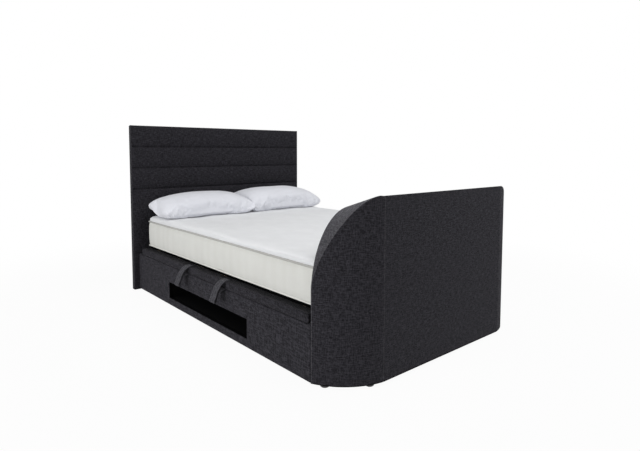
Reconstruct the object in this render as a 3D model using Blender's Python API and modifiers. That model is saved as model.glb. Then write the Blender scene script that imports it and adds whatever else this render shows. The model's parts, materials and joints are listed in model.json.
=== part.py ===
"""Upholstered television bed with a side-lift storage base and a lift in its footboard.

Metres, +Z up, +Y towards the headboard, -X towards the side with the pull straps.
The origin is on the floor, under the middle of the bed.
"""
import math

import bmesh
import bpy
from mathutils import Matrix, Vector

# Clearances
JOINT_GAP = 0.0003
SLIDE_GAP = 0.0005
CAP_GAP = 0.002
MERGE_DISTANCE = 0.00003
OVERRUN = 0.020

# Mattress
MATTRESS_WIDTH = 1.350
MATTRESS_LENGTH = 1.900
MATTRESS_BORDER = 0.200
MATTRESS_CROWN = 0.033
MATTRESS_CORNER = 0.036
MATTRESS_BOTTOM_ROLL = 0.018
PIPING_RADIUS = 0.006
BORDER_DRAW = 0.004

# Pillows
PILLOW_LENGTH = 0.680
PILLOW_DEPTH = 0.410
PILLOW_LOFT = 0.108
PILLOW_SINK = 0.070
PILLOW_HEAD_GAP = 0.032
PILLOW_SPACE = 0.012

# Base box
SIDE_LEDGE = 0.045
FOOT_SPACE = 0.010
HEAD_SPACE = 0.068
BASE_TOP = 0.275
PANEL_WALL = 0.025
END_RAIL_WALL = 0.022
UPHOLSTERY_RADIUS = 0.006

# Glides
GLIDE_RADIUS = 0.018
GLIDE_HEIGHT = 0.021
GLIDE_FOOT_RADIUS = 0.003
GLIDE_INSET = 0.045
GLIDE_STEM = 0.002

# Storage floor
FLOOR_BOARD = 0.006
FLOOR_BATTEN_WIDTH = 0.060

# Media recess in the side
MEDIA_FOOT_SPACE = 0.514
MEDIA_LENGTH = 0.941
MEDIA_BOTTOM = 0.065
MEDIA_HEIGHT = 0.102
MEDIA_DEPTH = 0.360
MEDIA_WALL = 0.012
CABLE_SLOT_LENGTH = 0.120
CABLE_SLOT_HEIGHT = 0.036

# Lid
LID_SEAM = 0.003
LID_HEIGHT = 0.042
LID_RAIL_WIDTH = 0.065
LID_FOOT_SPACE = 0.018
LID_HEAD_SPACE = 0.063
SLAT_COUNT = 11
SLAT_WIDTH = 0.095
SLAT_THICKNESS = 0.017
SLAT_END_SPACE = 0.030
LEDGE_WIDTH = 0.022
BEAM_WIDTH = 0.060
BEAM_HOUSING = 0.003

# Continuous hinge of the lid
KNUCKLE_COUNT = 17
HINGE_END_SPACE = 0.060
KNUCKLE_RADIUS = 0.0045
HINGE_PIN_RADIUS = 0.0020
LEAF_WIDTH = 0.020

# Gas struts, their pivots measured from the lid's hinge axis
STUD_REACH = 0.185
STUD_DROP = 0.031
ANCHOR_REACH = 0.065
ANCHOR_DROP = 0.1845
STRUT_RADIUS = 0.009
STRUT_BORE_RADIUS = 0.0046
ROD_RADIUS = 0.004
ROD_TOE = 0.038
STRUT_BODY_LENGTH = 0.150
STRUT_BASE = 0.016
EYE_RADIUS = 0.011
EYE_WIDTH = 0.008
STUD_RADIUS = 0.004
STUD_HEAD_RADIUS = 0.007
STUD_HEAD = 0.002
STUD_PLAY = 0.0004
STRUT_STAND_OFF = 0.0015
OPEN_PIVOT_PLAY = 0.0026
BRACKET_PLATE = 0.003
LID_BRACKET_WIDTH = 0.070
LID_BRACKET_MARGIN = 0.014
BASE_BRACKET_HEIGHT = 0.070
BASE_BRACKET_FLANGE = 0.045

# Pull straps
STRAP_WIDTH = 0.055
STRAP_REACH = 0.055
STRAP_LEAN = 0.012
STRAP_DROP = 0.064
STRAP_TUCK = 0.024
STRAP_SEAM_TUCK = 0.004
STRAP_RETURN = 0.038
STRAP_STEPS = 8
STRAP_POSITIONS = {"foot": 0.749, "head": 1.189}

# Buffers between base and lid
BUFFER_RADIUS = 0.009

# Headboard
HEADBOARD_HEIGHT = 1.210
HEADBOARD_OVERHANG = 0.028
HEADBOARD_FRAME = 0.042
HEADBOARD_PAD = 0.030
CHANNEL_HEIGHT = 0.155
CHANNEL_COUNT = 6
CHANNEL_DEPTH = 0.010

# Footboard
FOOTBOARD_DEPTH = 0.196
FOOTBOARD_HEIGHT = 0.836
FOOTBOARD_WALL = 0.022
BACK_PANEL_WALL = 0.025
WING_WIDTH = 0.252
WING_RADIUS = 0.327
SHOULDER_WIDTH = 0.235
SHOULDER_DROP = 0.376
TOP_FALL = 0.060
BASE_BOARD = 0.018
FOOTBOARD_GLIDE_INSET = 0.034

# Cap over the television slot
CAP_THICKNESS = 0.030
CAP_EDGE_RADIUS = 0.003

# Television lift
COLUMN_WIDTH = 0.110
COLUMN_DEPTH = 0.046
COLUMN_WALL = 0.003
COLUMN_STAND_OFF = 0.004
STAGE_DROP = 0.004
STAGE_RISE = 0.006
LIFT_PLATE = 0.004
LIFT_PLATE_LENGTH = 0.300
LIFT_HEAD_SPACE = 0.065
MOTOR_RADIUS = 0.024
MOTOR_LENGTH = 0.125
MOTOR_EDGE_RADIUS = 0.003
HEAD_PLATE_WIDTH = 0.260
HANGER_WIDTH = 0.030
HANGER_SPACING = 0.200
HANGER_LENGTH = 0.420
MOUNT_PLATE_WIDTH = 0.440
MOUNT_PLATE_HEIGHT = 0.240
MOUNT_PLATE_DROP = 0.110
MOUNT_HOLE_SPACING = 0.200
MOUNT_HOLE_RADIUS = 0.0045
CAP_POST_WIDTH = 0.030
CAP_POST_SPACING = 0.160

# Corner brackets and bolts
BRACKET_LEG = 0.040
BRACKET_WALL = 0.003
BRACKET_HEIGHT = 0.120
BOLT_RADIUS = 0.008
BOLT_HEAD = 0.005
BOLT_HEIGHT_SHARES = (0.25, 0.75)

# Counts of faces
ROUND_SIDES = 16
KNUCKLE_SIDES = 10
BOLT_SIDES = 6
ARC_STEPS = 14
SHOULDER_STEPS = 12
MATTRESS_COLUMNS = 16
MATTRESS_ROWS = 20
PILLOW_COLUMNS = 14
PILLOW_ROWS = 10
CHANNEL_ROWS = 6
PAD_COLUMNS = 10
ROUNDING_STEPS = 2
CORNER_ANGLE = math.radians(40)
FOOTBOARD_GLIDE_ANGLES = {"front": math.radians(57), "back": math.radians(18)}

# Shares that shape the soft forms
PLATEAU_POWER = 16
PAD_EDGE_POWER = 24
CHANNEL_POWER = 3
PILLOW_DRAW_SHARES = (0.035, 0.070)
PILLOW_POWERS = (2.6, 2.2)
PILLOW_ROUND = 0.55
PILLOW_FLAT_SHARE = 1.7

# Places worked out from the sizes above
TOTAL_LENGTH = (FOOTBOARD_DEPTH + FOOT_SPACE + MATTRESS_LENGTH + HEAD_SPACE
                + HEADBOARD_PAD + HEADBOARD_FRAME)
BACK_Y = -TOTAL_LENGTH / 2
FOOT_Y = BACK_Y + FOOTBOARD_DEPTH
MATTRESS_FOOT_Y = FOOT_Y + FOOT_SPACE
MATTRESS_HEAD_Y = MATTRESS_FOOT_Y + MATTRESS_LENGTH
FACE_Y = MATTRESS_HEAD_Y + HEAD_SPACE
HEAD_Y = FACE_Y + HEADBOARD_PAD + HEADBOARD_FRAME
HALF_WIDTH = MATTRESS_WIDTH / 2 + SIDE_LEDGE
INNER_HALF = HALF_WIDTH - PANEL_WALL
BASE_BOTTOM = GLIDE_HEIGHT + JOINT_GAP
LID_BOTTOM = BASE_TOP + LID_SEAM
LID_TOP = LID_BOTTOM + LID_HEIGHT
LID_FOOT_Y = FOOT_Y + LID_FOOT_SPACE
LID_HEAD_Y = FACE_Y - LID_HEAD_SPACE
SLAT_BOTTOM = LID_TOP - SLAT_THICKNESS - JOINT_GAP
RAIL_INNER = HALF_WIDTH - LID_RAIL_WIDTH
MATTRESS_BOTTOM = LID_TOP + JOINT_GAP
PIPING_Z = MATTRESS_BOTTOM + MATTRESS_BORDER
MATTRESS_TOP = PIPING_Z + PIPING_RADIUS + MATTRESS_CROWN
SEAM_X = HALF_WIDTH - WING_WIDTH
TOP_SLOPE = TOP_FALL / FOOTBOARD_DEPTH
SLOT_BACK_Y = BACK_Y + BACK_PANEL_WALL
SLOT_FRONT_Y = FOOT_Y - FOOTBOARD_WALL
BASE_BOARD_TOP = BASE_BOTTOM + BASE_BOARD
MEDIA_FOOT_Y = FOOT_Y + MEDIA_FOOT_SPACE
MEDIA_HEAD_Y = MEDIA_FOOT_Y + MEDIA_LENGTH
FLOOR_TOP = MEDIA_BOTTOM - MEDIA_WALL - JOINT_GAP
FLOOR_BOTTOM = FLOOR_TOP - FLOOR_BOARD
STORAGE_FOOT_Y = FOOT_Y + END_RAIL_WALL + 2 * JOINT_GAP
STORAGE_HEAD_Y = FACE_Y - END_RAIL_WALL - 2 * JOINT_GAP
HINGE_X = HALF_WIDTH + KNUCKLE_RADIUS + JOINT_GAP
HINGE_Z = BASE_TOP + LID_SEAM / 2
LEAF_THICKNESS = (LID_SEAM - 3 * JOINT_GAP) / 2
ANCHOR = Vector((HINGE_X - ANCHOR_REACH, 0, HINGE_Z - ANCHOR_DROP))
STUD = Vector((HINGE_X - STUD_REACH, 0, HINGE_Z - STUD_DROP))
STRUT_LENGTH = (STUD - ANCHOR).length
COLUMN_BACK_Y = SLOT_BACK_Y + COLUMN_STAND_OFF
COLUMN_BOTTOM = BASE_BOARD_TOP + JOINT_GAP + LIFT_PLATE + JOINT_GAP
HEAD_PLATE_TOP = (FOOTBOARD_HEIGHT - TOP_SLOPE * (SLOT_FRONT_Y - BACK_Y) - CAP_THICKNESS
                  - LIFT_HEAD_SPACE)
HEAD_PLATE_BOTTOM = HEAD_PLATE_TOP - LIFT_PLATE
COLUMN_TOP = HEAD_PLATE_BOTTOM - JOINT_GAP - STAGE_RISE
HANGER_Y = COLUMN_BACK_Y + COLUMN_DEPTH + COLUMN_STAND_OFF

PLANES = {
    "XY": (0, 0, 0),
    "XZ": (math.pi / 2, 0, 0),
    "YZ": (math.pi / 2, 0, math.pi / 2),
}
FINISHES = {
    "charcoal_weave": ((0.020, 0.020, 0.026), 0.95, 0),
    "charcoal_webbing": ((0.045, 0.045, 0.052), 0.85, 0),
    "black_board": ((0.004, 0.004, 0.005), 0.60, 0),
    "timber": ((0.52, 0.36, 0.20), 0.65, 0),
    "beech": ((0.66, 0.48, 0.29), 0.50, 0),
    "hardboard": ((0.20, 0.12, 0.07), 0.75, 0),
    "black_steel": ((0.015, 0.015, 0.016), 0.40, 1),
    "bright_steel": ((0.55, 0.55, 0.56), 0.28, 1),
    "black_plastic": ((0.008, 0.008, 0.009), 0.45, 0),
    "rubber": ((0.012, 0.012, 0.012), 0.90, 0),
    "ticking": ((0.78, 0.76, 0.70), 0.90, 0),
    "cotton": ((0.80, 0.80, 0.84), 0.85, 0),
}


def start_scene():
    """Empty the scene and make the collections of the bed and of its cutters."""
    for obj in list(bpy.context.scene.objects):
        bpy.data.objects.remove(obj, do_unlink=True)
    collections = []
    for title in ("television_bed", "cutters"):
        collection = bpy.data.collections.new(title)
        bpy.context.scene.collection.children.link(collection)
        collections.append(collection)
    return collections


BED, CUTTERS = start_scene()


def finish_material(finish):
    """The material of a finish, made the first time it is asked for."""
    if finish in bpy.data.materials:
        return bpy.data.materials[finish]
    colour, roughness, metallic = FINISHES[finish]
    material = bpy.data.materials.new(finish)
    material.use_nodes = True
    shader = material.node_tree.nodes["Principled BSDF"]
    shader.inputs["Base Color"].default_value = (*colour, 1)
    shader.inputs["Roughness"].default_value = roughness
    shader.inputs["Metallic"].default_value = metallic
    return material


def add(name, mesh, finish, location=(0, 0, 0), rotation=(0, 0, 0), parent=None):
    """Put a mesh in the scene as a named part, or as a cutter where it has no finish."""
    mesh.name = name
    obj = bpy.data.objects.new(name, mesh)
    obj.location = location
    obj.rotation_euler = rotation
    if finish is None:
        CUTTERS.objects.link(obj)
        obj.hide_render = True
        obj.display_type = "WIRE"
    else:
        BED.objects.link(obj)
        mesh.materials.append(finish_material(finish))
    if parent is not None:
        obj.parent = parent
        obj.location = Vector(location) - parent.location
    return obj


def empty(name, location, rotation=(0, 0, 0)):
    """An empty on a joint's axis, which carries the pieces that move there."""
    obj = bpy.data.objects.new(name, None)
    obj.location = location
    obj.rotation_euler = rotation
    BED.objects.link(obj)
    return obj


def mesh_from(bm):
    """A mesh from a bmesh, its faces pointing out."""
    bmesh.ops.recalc_face_normals(bm, faces=bm.faces)
    if bm.calc_volume(signed=True) < 0:
        bmesh.ops.reverse_faces(bm, faces=bm.faces)
    mesh = bpy.data.meshes.new("shape")
    bm.to_mesh(mesh)
    bm.free()
    return mesh


def soften(obj, radius, segments=ROUNDING_STEPS):
    """Round the edges of a part."""
    bevel = obj.modifiers.new("rounding", "BEVEL")
    bevel.width = radius
    bevel.segments = segments
    bevel.limit_method = "ANGLE"
    bevel.angle_limit = CORNER_ANGLE
    return obj


def boolean(obj, other, operation="DIFFERENCE"):
    """Cut a part with another shape, or join them."""
    modifier = obj.modifiers.new(operation.lower(), "BOOLEAN")
    modifier.operation = operation
    modifier.solver = "EXACT"
    modifier.object = other
    return obj


def box(name, low, high, finish=None, parent=None, radius=0):
    """A box between two corners, its origin at its centre."""
    low = Vector(low)
    high = Vector(high)
    bm = bmesh.new()
    bmesh.ops.create_cube(bm, size=1)
    bmesh.ops.scale(bm, vec=high - low, verts=bm.verts)
    obj = add(name, mesh_from(bm), finish, (low + high) / 2, parent=parent)
    if radius:
        soften(obj, radius)
    return obj


def drum(name, start, end, radius, finish=None, parent=None, sides=ROUND_SIDES):
    """A cylinder from one point to another."""
    start = Vector(start)
    end = Vector(end)
    along = end - start
    bm = bmesh.new()
    bmesh.ops.create_cone(bm, cap_ends=True, segments=sides, radius1=radius, radius2=radius,
                          depth=along.length)
    turn = Vector((0, 0, 1)).rotation_difference(along).to_euler()
    return add(name, mesh_from(bm), finish, (start + end) / 2, turn, parent)


def turned(name, profile, finish, parent=None):
    """A shape turned about its own upright axis, its profile run down its outer side."""
    bm = bmesh.new()
    verts = [bm.verts.new((radius, 0, z)) for radius, z in profile]
    for first, second in zip(verts, verts[1:]):
        bm.edges.new((first, second))
    mesh = bpy.data.meshes.new(name)
    bm.to_mesh(mesh)
    bm.free()
    obj = add(name, mesh, finish)
    obj.parent = parent
    turn = obj.modifiers.new("turn", "SCREW")
    turn.steps = ROUND_SIDES
    turn.render_steps = ROUND_SIDES
    turn.use_merge_vertices = True
    turn.merge_threshold = MERGE_DISTANCE
    return obj


def outline_mesh(points, thickness):
    """A flat outline in its own XY plane, given half its thickness on each side."""
    curve = bpy.data.curves.new("outline", "CURVE")
    curve.dimensions = "2D"
    curve.fill_mode = "BOTH"
    curve.extrude = thickness / 2
    spline = curve.splines.new("POLY")
    spline.points.add(len(points) - 1)
    for place, point in zip(spline.points, points):
        place.co = (point[0], point[1], 0, 1)
    spline.use_cyclic_u = True
    holder = bpy.data.objects.new("outline", curve)
    bpy.context.scene.collection.objects.link(holder)
    depsgraph = bpy.context.evaluated_depsgraph_get()
    mesh = bpy.data.meshes.new_from_object(holder.evaluated_get(depsgraph))
    bpy.data.objects.remove(holder)
    bm = bmesh.new()
    bm.from_mesh(mesh)
    bmesh.ops.remove_doubles(bm, verts=bm.verts, dist=MERGE_DISTANCE)
    return mesh_from(bm)


def plate(name, points, plane, low, high, finish=None, parent=None, radius=0):
    """A flat outline in a named plane, from one depth to another across it."""
    middle = (low + high) / 2
    place = {"XY": (0, 0, middle), "XZ": (0, middle, 0), "YZ": (middle, 0, 0)}[plane]
    obj = add(name, outline_mesh(points, high - low), finish, place, PLANES[plane], parent)
    if radius:
        soften(obj, radius)
    return obj


def union(name, parts, finish, parent=None):
    """One solid from shapes that overlap, its first shape the one that stays."""
    first = parts[0]
    for other in parts[1:]:
        boolean(first, other, "UNION")
    depsgraph = bpy.context.evaluated_depsgraph_get()
    mesh = bpy.data.meshes.new_from_object(first.evaluated_get(depsgraph))
    mesh.transform(first.matrix_world)
    for part in parts:
        bpy.data.objects.remove(part)
    mesh.materials.clear()
    origin = parent.location if parent is not None else Vector((0, 0, 0))
    mesh.transform(Matrix.Translation(-origin))
    return add(name, mesh, finish, origin, parent=parent)


def refresh():
    """Bring every object's place up to date before shapes are joined."""
    bpy.context.view_layer.update()


def eased(value):
    """Spread even steps from -1 to 1 so that they lie closer at both ends."""
    return math.sin(value * math.pi / 2)


# Footboard

def wing_centre(side):
    """Centre of the arc that rounds a corner of the footboard in plan."""
    outer = Vector((side * HALF_WIDTH, FOOT_Y))
    inner = Vector((side * SEAM_X, BACK_Y))
    chord = inner - outer
    across = Vector((-chord.y, chord.x)).normalized()
    if across.x * side > 0:
        across = -across
    reach = math.sqrt(WING_RADIUS ** 2 - (chord.length / 2) ** 2)
    return (outer + inner) / 2 + across * reach


def wing_arc(side, radius, start, stop):
    """Points of the corner's arc at a radius, from one angle to another off the -Y direction."""
    centre = wing_centre(side)
    points = []
    for step in range(ARC_STEPS + 1):
        angle = start + (stop - start) * step / ARC_STEPS
        points.append((centre.x + side * radius * math.sin(angle),
                       centre.y - radius * math.cos(angle)))
    return points


def wing_plan(side, wall, inner_x, front_y):
    """Plan of a wing, set in by a wall, from its front round its arc to its inner side."""
    centre = wing_centre(side)
    radius = WING_RADIUS - wall
    start = math.acos((centre.y - front_y) / radius)
    stop = math.asin((inner_x - side * centre.x) / radius)
    return wing_arc(side, radius, start, stop) + [(side * inner_x, front_y)]


def shoulder_block(name, side, wall):
    """The footboard's front outline, shoulder and all, drawn back along its sloping top."""
    middle_x = HALF_WIDTH - SHOULDER_WIDTH
    middle_z = FOOTBOARD_HEIGHT - SHOULDER_DROP
    floor = -FOOTBOARD_HEIGHT
    points = [(0, floor), (side * (HALF_WIDTH - wall), floor)]
    for step in range(SHOULDER_STEPS + 1):
        angle = math.pi / 2 * step / SHOULDER_STEPS
        points.append((side * (middle_x + (SHOULDER_WIDTH - wall) * math.cos(angle)),
                       middle_z + (SHOULDER_DROP - wall) * math.sin(angle)))
    points.append((0, FOOTBOARD_HEIGHT - wall))
    depth = FOOTBOARD_DEPTH + 2 * OVERRUN
    mesh = outline_mesh(points, depth)
    mesh.transform(Matrix.Rotation(math.pi / 2, 4, "X"))
    mesh.transform(Matrix.Translation((0, FOOTBOARD_DEPTH / 2, 0)))
    fall = Matrix.Identity(4)
    fall[2][1] = -TOP_SLOPE
    mesh.transform(fall)
    return add(name, mesh, None, (0, BACK_Y, 0))


def board_plan(gap):
    """Plan of the footboard's base board, inside the walls that stand round it."""
    radius = WING_RADIUS - FOOTBOARD_WALL - gap
    arcs = []
    for side in (-1, 1):
        depth = wing_centre(side).y
        start = math.acos((depth - SLOT_FRONT_Y + gap) / radius)
        stop = math.acos((depth - SLOT_BACK_Y - gap) / radius)
        arcs.append(wing_arc(side, radius, start, stop))
    return arcs[0] + arcs[1][::-1]


def footboard_wing(name, side):
    """An upholstered corner of the footboard: a hollow case with a rounded plan and shoulder."""
    inner_x = SEAM_X + JOINT_GAP
    wing = plate(name, wing_plan(side, 0, inner_x, FOOT_Y), "XY",
                 BASE_BOTTOM, FOOTBOARD_HEIGHT + OVERRUN, "charcoal_weave")
    boolean(wing, shoulder_block(name + "_outer", side, 0), "INTERSECT")
    hollow_x = inner_x + FOOTBOARD_WALL
    hollow = plate(name + "_hollow",
                   wing_plan(side, FOOTBOARD_WALL, hollow_x, FOOT_Y - FOOTBOARD_WALL), "XY",
                   BASE_BOTTOM - OVERRUN, FOOTBOARD_HEIGHT + OVERRUN)
    boolean(hollow, shoulder_block(name + "_inner", side, FOOTBOARD_WALL), "INTERSECT")
    boolean(wing, hollow)
    boolean(wing, plate(name + "_board_seat", board_plan(0), "XY",
                        BASE_BOTTOM - OVERRUN, BASE_BOARD_TOP + JOINT_GAP))
    return wing


def footboard_top(y):
    """Height of the footboard's sloping top at a depth."""
    return FOOTBOARD_HEIGHT - TOP_SLOPE * (y - BACK_Y)


def footboard_panel(name, low_y, high_y):
    """An upright upholstered panel between the wings, its top on the slope."""
    points = [(low_y, BASE_BOTTOM), (high_y, BASE_BOTTOM),
              (high_y, footboard_top(high_y)), (low_y, footboard_top(low_y))]
    return plate(name, points, "YZ", -SEAM_X, SEAM_X, "charcoal_weave")


def footboard():
    """Shell of the footboard, open at its top for the television."""
    footboard_wing("footboard_wing_left", -1)
    footboard_wing("footboard_wing_right", 1)
    footboard_panel("footboard_back_panel", BACK_Y, SLOT_BACK_Y)
    footboard_panel("footboard_front_panel", SLOT_FRONT_Y, FOOT_Y)
    plate("footboard_base_board", board_plan(JOINT_GAP), "XY", BASE_BOTTOM, BASE_BOARD_TOP, "timber")


def television_cap(parent):
    """The upholstered cap that closes the slot and rides up on the lift."""
    low_y = SLOT_BACK_Y + CAP_GAP
    high_y = SLOT_FRONT_Y - CAP_GAP
    points = [(low_y, footboard_top(low_y) - CAP_THICKNESS),
              (high_y, footboard_top(high_y) - CAP_THICKNESS),
              (high_y, footboard_top(high_y)), (low_y, footboard_top(low_y))]
    half = SEAM_X - CAP_GAP
    plate("television_cap", points, "YZ", -half, half, "charcoal_weave", parent, CAP_EDGE_RADIUS)


# Television lift

def column_tube(name, inset, bottom, top, finish, parent=None):
    """One stage of the lift column: a square tube, open at both ends."""
    half = COLUMN_WIDTH / 2 - inset
    low_y = COLUMN_BACK_Y + inset
    high_y = COLUMN_BACK_Y + COLUMN_DEPTH - inset
    tube = box(name, (-half, low_y, bottom), (half, high_y, top), finish, parent)
    bore = box(name + "_bore",
               (-half + COLUMN_WALL, low_y + COLUMN_WALL, bottom - OVERRUN),
               (half - COLUMN_WALL, high_y - COLUMN_WALL, top + OVERRUN))
    return boolean(tube, bore)


def mount_plate(parent):
    """The plate that a television bolts to, with its four holes."""
    half = MOUNT_PLATE_WIDTH / 2
    top = HEAD_PLATE_BOTTOM - MOUNT_PLATE_DROP
    back_y = HANGER_Y + LIFT_PLATE + JOINT_GAP
    front_y = back_y + LIFT_PLATE
    plate_part = box("television_mount_plate", (-half, back_y, top - MOUNT_PLATE_HEIGHT),
                     (half, front_y, top), "black_steel", parent)
    middle_z = top - MOUNT_PLATE_HEIGHT / 2
    for across in (-1, 1):
        for up in (-1, 1):
            x = across * MOUNT_HOLE_SPACING / 2
            z = middle_z + up * MOUNT_HOLE_SPACING / 2
            hole = drum(f"mount_hole_{across}_{up}", (x, back_y - OVERRUN, z),
                        (x, front_y + OVERRUN, z), MOUNT_HOLE_RADIUS, sides=ROUND_SIDES // 2)
            boolean(plate_part, hole)


def head_bracket(parent):
    """The plate on the inner column that carries the hangers and the posts under the cap."""
    half = HEAD_PLATE_WIDTH / 2
    front_y = HANGER_Y + LIFT_PLATE
    shapes = [box("bracket_plate", (-half, COLUMN_BACK_Y, HEAD_PLATE_BOTTOM),
                  (half, front_y, HEAD_PLATE_TOP))]
    for side in (-1, 1):
        x = side * HANGER_SPACING / 2
        shapes.append(box(f"hanger_{side}", (x - HANGER_WIDTH / 2, HANGER_Y, HEAD_PLATE_TOP - HANGER_LENGTH),
                          (x + HANGER_WIDTH / 2, front_y, HEAD_PLATE_TOP)))
        post_x = side * CAP_POST_SPACING / 2
        post_y = COLUMN_BACK_Y + CAP_POST_WIDTH
        post_top = footboard_top(post_y) - CAP_THICKNESS - JOINT_GAP
        shapes.append(box(f"cap_post_{side}",
                          (post_x - CAP_POST_WIDTH / 2, post_y - LIFT_PLATE, HEAD_PLATE_BOTTOM),
                          (post_x + CAP_POST_WIDTH / 2, post_y, post_top)))
    refresh()
    union("lift_head_bracket", shapes, "black_steel", parent)


def television_lift():
    """Three-stage lift column with its motor, its mount plate and the cap over it."""
    column_foot = Vector((0, COLUMN_BACK_Y + COLUMN_DEPTH / 2, COLUMN_BOTTOM))
    middle = empty("lift_middle_slide", column_foot)
    carriage = empty("lift_carriage_slide", column_foot)
    step = COLUMN_WALL + SLIDE_GAP
    half_plate = LIFT_PLATE_LENGTH / 2
    box("lift_foot_plate",
        (-half_plate, SLOT_BACK_Y + CAP_GAP, BASE_BOARD_TOP + JOINT_GAP),
        (half_plate, SLOT_FRONT_Y - CAP_GAP, BASE_BOARD_TOP + JOINT_GAP + LIFT_PLATE), "black_steel")
    column_tube("lift_outer_column", 0, COLUMN_BOTTOM, COLUMN_TOP, "black_steel")
    column_tube("lift_middle_column", step, COLUMN_BOTTOM + STAGE_DROP,
                COLUMN_TOP + STAGE_RISE / 2, "bright_steel", middle)
    column_tube("lift_inner_column", 2 * step, COLUMN_BOTTOM + 2 * STAGE_DROP,
                COLUMN_TOP + STAGE_RISE, "bright_steel", carriage)
    motor_x = COLUMN_WIDTH / 2 + JOINT_GAP
    motor_y = COLUMN_BACK_Y + MOTOR_RADIUS
    motor_z = COLUMN_BOTTOM + MOTOR_RADIUS
    soften(drum("lift_motor", (motor_x, motor_y, motor_z), (motor_x + MOTOR_LENGTH, motor_y, motor_z),
                MOTOR_RADIUS, "black_plastic"), MOTOR_EDGE_RADIUS, 1)
    head_bracket(carriage)
    mount_plate(carriage)
    television_cap(carriage)


# Headboard

def channelled_pad(name, half_width, seams, finish):
    """An upholstered pad sewn across in channels, flat at its back."""
    bottom = seams[0]
    spans = list(zip(seams, seams[1:]))
    bm = bmesh.new()
    bmesh.ops.create_grid(bm, x_segments=PAD_COLUMNS, y_segments=CHANNEL_ROWS * len(spans), size=1)
    for vert in bm.verts:
        across = eased(vert.co.x)
        row = round((vert.co.y + 1) / 2 * CHANNEL_ROWS * len(spans))
        span = min(row // CHANNEL_ROWS, len(spans) - 1)
        share = row / CHANNEL_ROWS - span
        low, high = spans[span]
        crown = (1 - abs(2 * share - 1) ** CHANNEL_POWER) * (1 - abs(across) ** PAD_EDGE_POWER)
        vert.co = (across * half_width, low + (high - low) * share - bottom,
                   HEADBOARD_PAD - JOINT_GAP - CHANNEL_DEPTH * (1 - crown))
    rim = [edge for edge in bm.edges if edge.is_boundary]
    grown = bmesh.ops.extrude_edge_only(bm, edges=rim)["geom"]
    for vert in grown:
        if isinstance(vert, bmesh.types.BMVert):
            vert.co.z = 0
    back = [edge for edge in grown if isinstance(edge, bmesh.types.BMEdge) and edge.is_boundary]
    bmesh.ops.contextual_create(bm, geom=back)
    return add(name, mesh_from(bm), finish, (0, HEAD_Y - HEADBOARD_FRAME - JOINT_GAP, bottom), PLANES["XZ"])


def headboard():
    """Tall upholstered panel with horizontal channels on its face."""
    half = HALF_WIDTH + HEADBOARD_OVERHANG
    box("headboard_frame", (-half, HEAD_Y - HEADBOARD_FRAME, 0), (half, HEAD_Y, HEADBOARD_HEIGHT),
        "charcoal_weave", radius=UPHOLSTERY_RADIUS)
    seams = [BASE_BOTTOM]
    for index in range(CHANNEL_COUNT + 1):
        seams.append(HEADBOARD_HEIGHT - (CHANNEL_COUNT - index) * CHANNEL_HEIGHT)
    channelled_pad("headboard_pad", half, seams, "charcoal_weave")


# Base

def side_panels():
    """Long upholstered sides of the base, the left one open for the media recess."""
    low_y = FOOT_Y + JOINT_GAP
    high_y = FACE_Y - JOINT_GAP
    left = box("side_panel_left", (-HALF_WIDTH, low_y, BASE_BOTTOM), (-INNER_HALF, high_y, BASE_TOP),
               "charcoal_weave", radius=UPHOLSTERY_RADIUS)
    opening = box("media_opening", (-HALF_WIDTH - OVERRUN, MEDIA_FOOT_Y, MEDIA_BOTTOM),
                  (-INNER_HALF + OVERRUN, MEDIA_HEAD_Y, MEDIA_BOTTOM + MEDIA_HEIGHT))
    boolean(left, opening)
    box("side_panel_right", (INNER_HALF, low_y, BASE_BOTTOM), (HALF_WIDTH, high_y, BASE_TOP),
        "charcoal_weave", radius=UPHOLSTERY_RADIUS)


def end_rails():
    """Boards across the two ends of the storage box."""
    half = INNER_HALF - JOINT_GAP
    box("base_foot_rail", (-half, FOOT_Y + JOINT_GAP, BASE_BOTTOM),
        (half, FOOT_Y + JOINT_GAP + END_RAIL_WALL, BASE_TOP), "timber")
    box("base_head_rail", (-half, FACE_Y - JOINT_GAP - END_RAIL_WALL, BASE_BOTTOM),
        (half, FACE_Y - JOINT_GAP, BASE_TOP), "timber")


def storage_floor():
    """Two floor boards on three battens across the base, each batten on its glides."""
    half = INNER_HALF - JOINT_GAP
    boards = [("foot", STORAGE_FOOT_Y, -JOINT_GAP / 2), ("head", JOINT_GAP / 2, STORAGE_HEAD_Y)]
    for title, low_y, high_y in boards:
        box(f"storage_floor_{title}", (-half, low_y, FLOOR_BOTTOM), (half, high_y, FLOOR_TOP), "hardboard")
    first = STORAGE_FOOT_Y + FLOOR_BATTEN_WIDTH / 2
    last = STORAGE_HEAD_Y - FLOOR_BATTEN_WIDTH / 2
    side_x = half - GLIDE_INSET
    for title, middle in (("foot", first), ("centre", (first + last) / 2), ("head", last)):
        shapes = [box("batten", (-half, middle - FLOOR_BATTEN_WIDTH / 2, BASE_BOTTOM),
                      (half, middle + FLOOR_BATTEN_WIDTH / 2, FLOOR_BOTTOM - JOINT_GAP))]
        for x in (-side_x, 0, side_x):
            shapes.append(glide("glide", x, middle, GLIDE_STEM, None))
        refresh()
        union(f"floor_batten_{title}", shapes, "timber")


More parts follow.
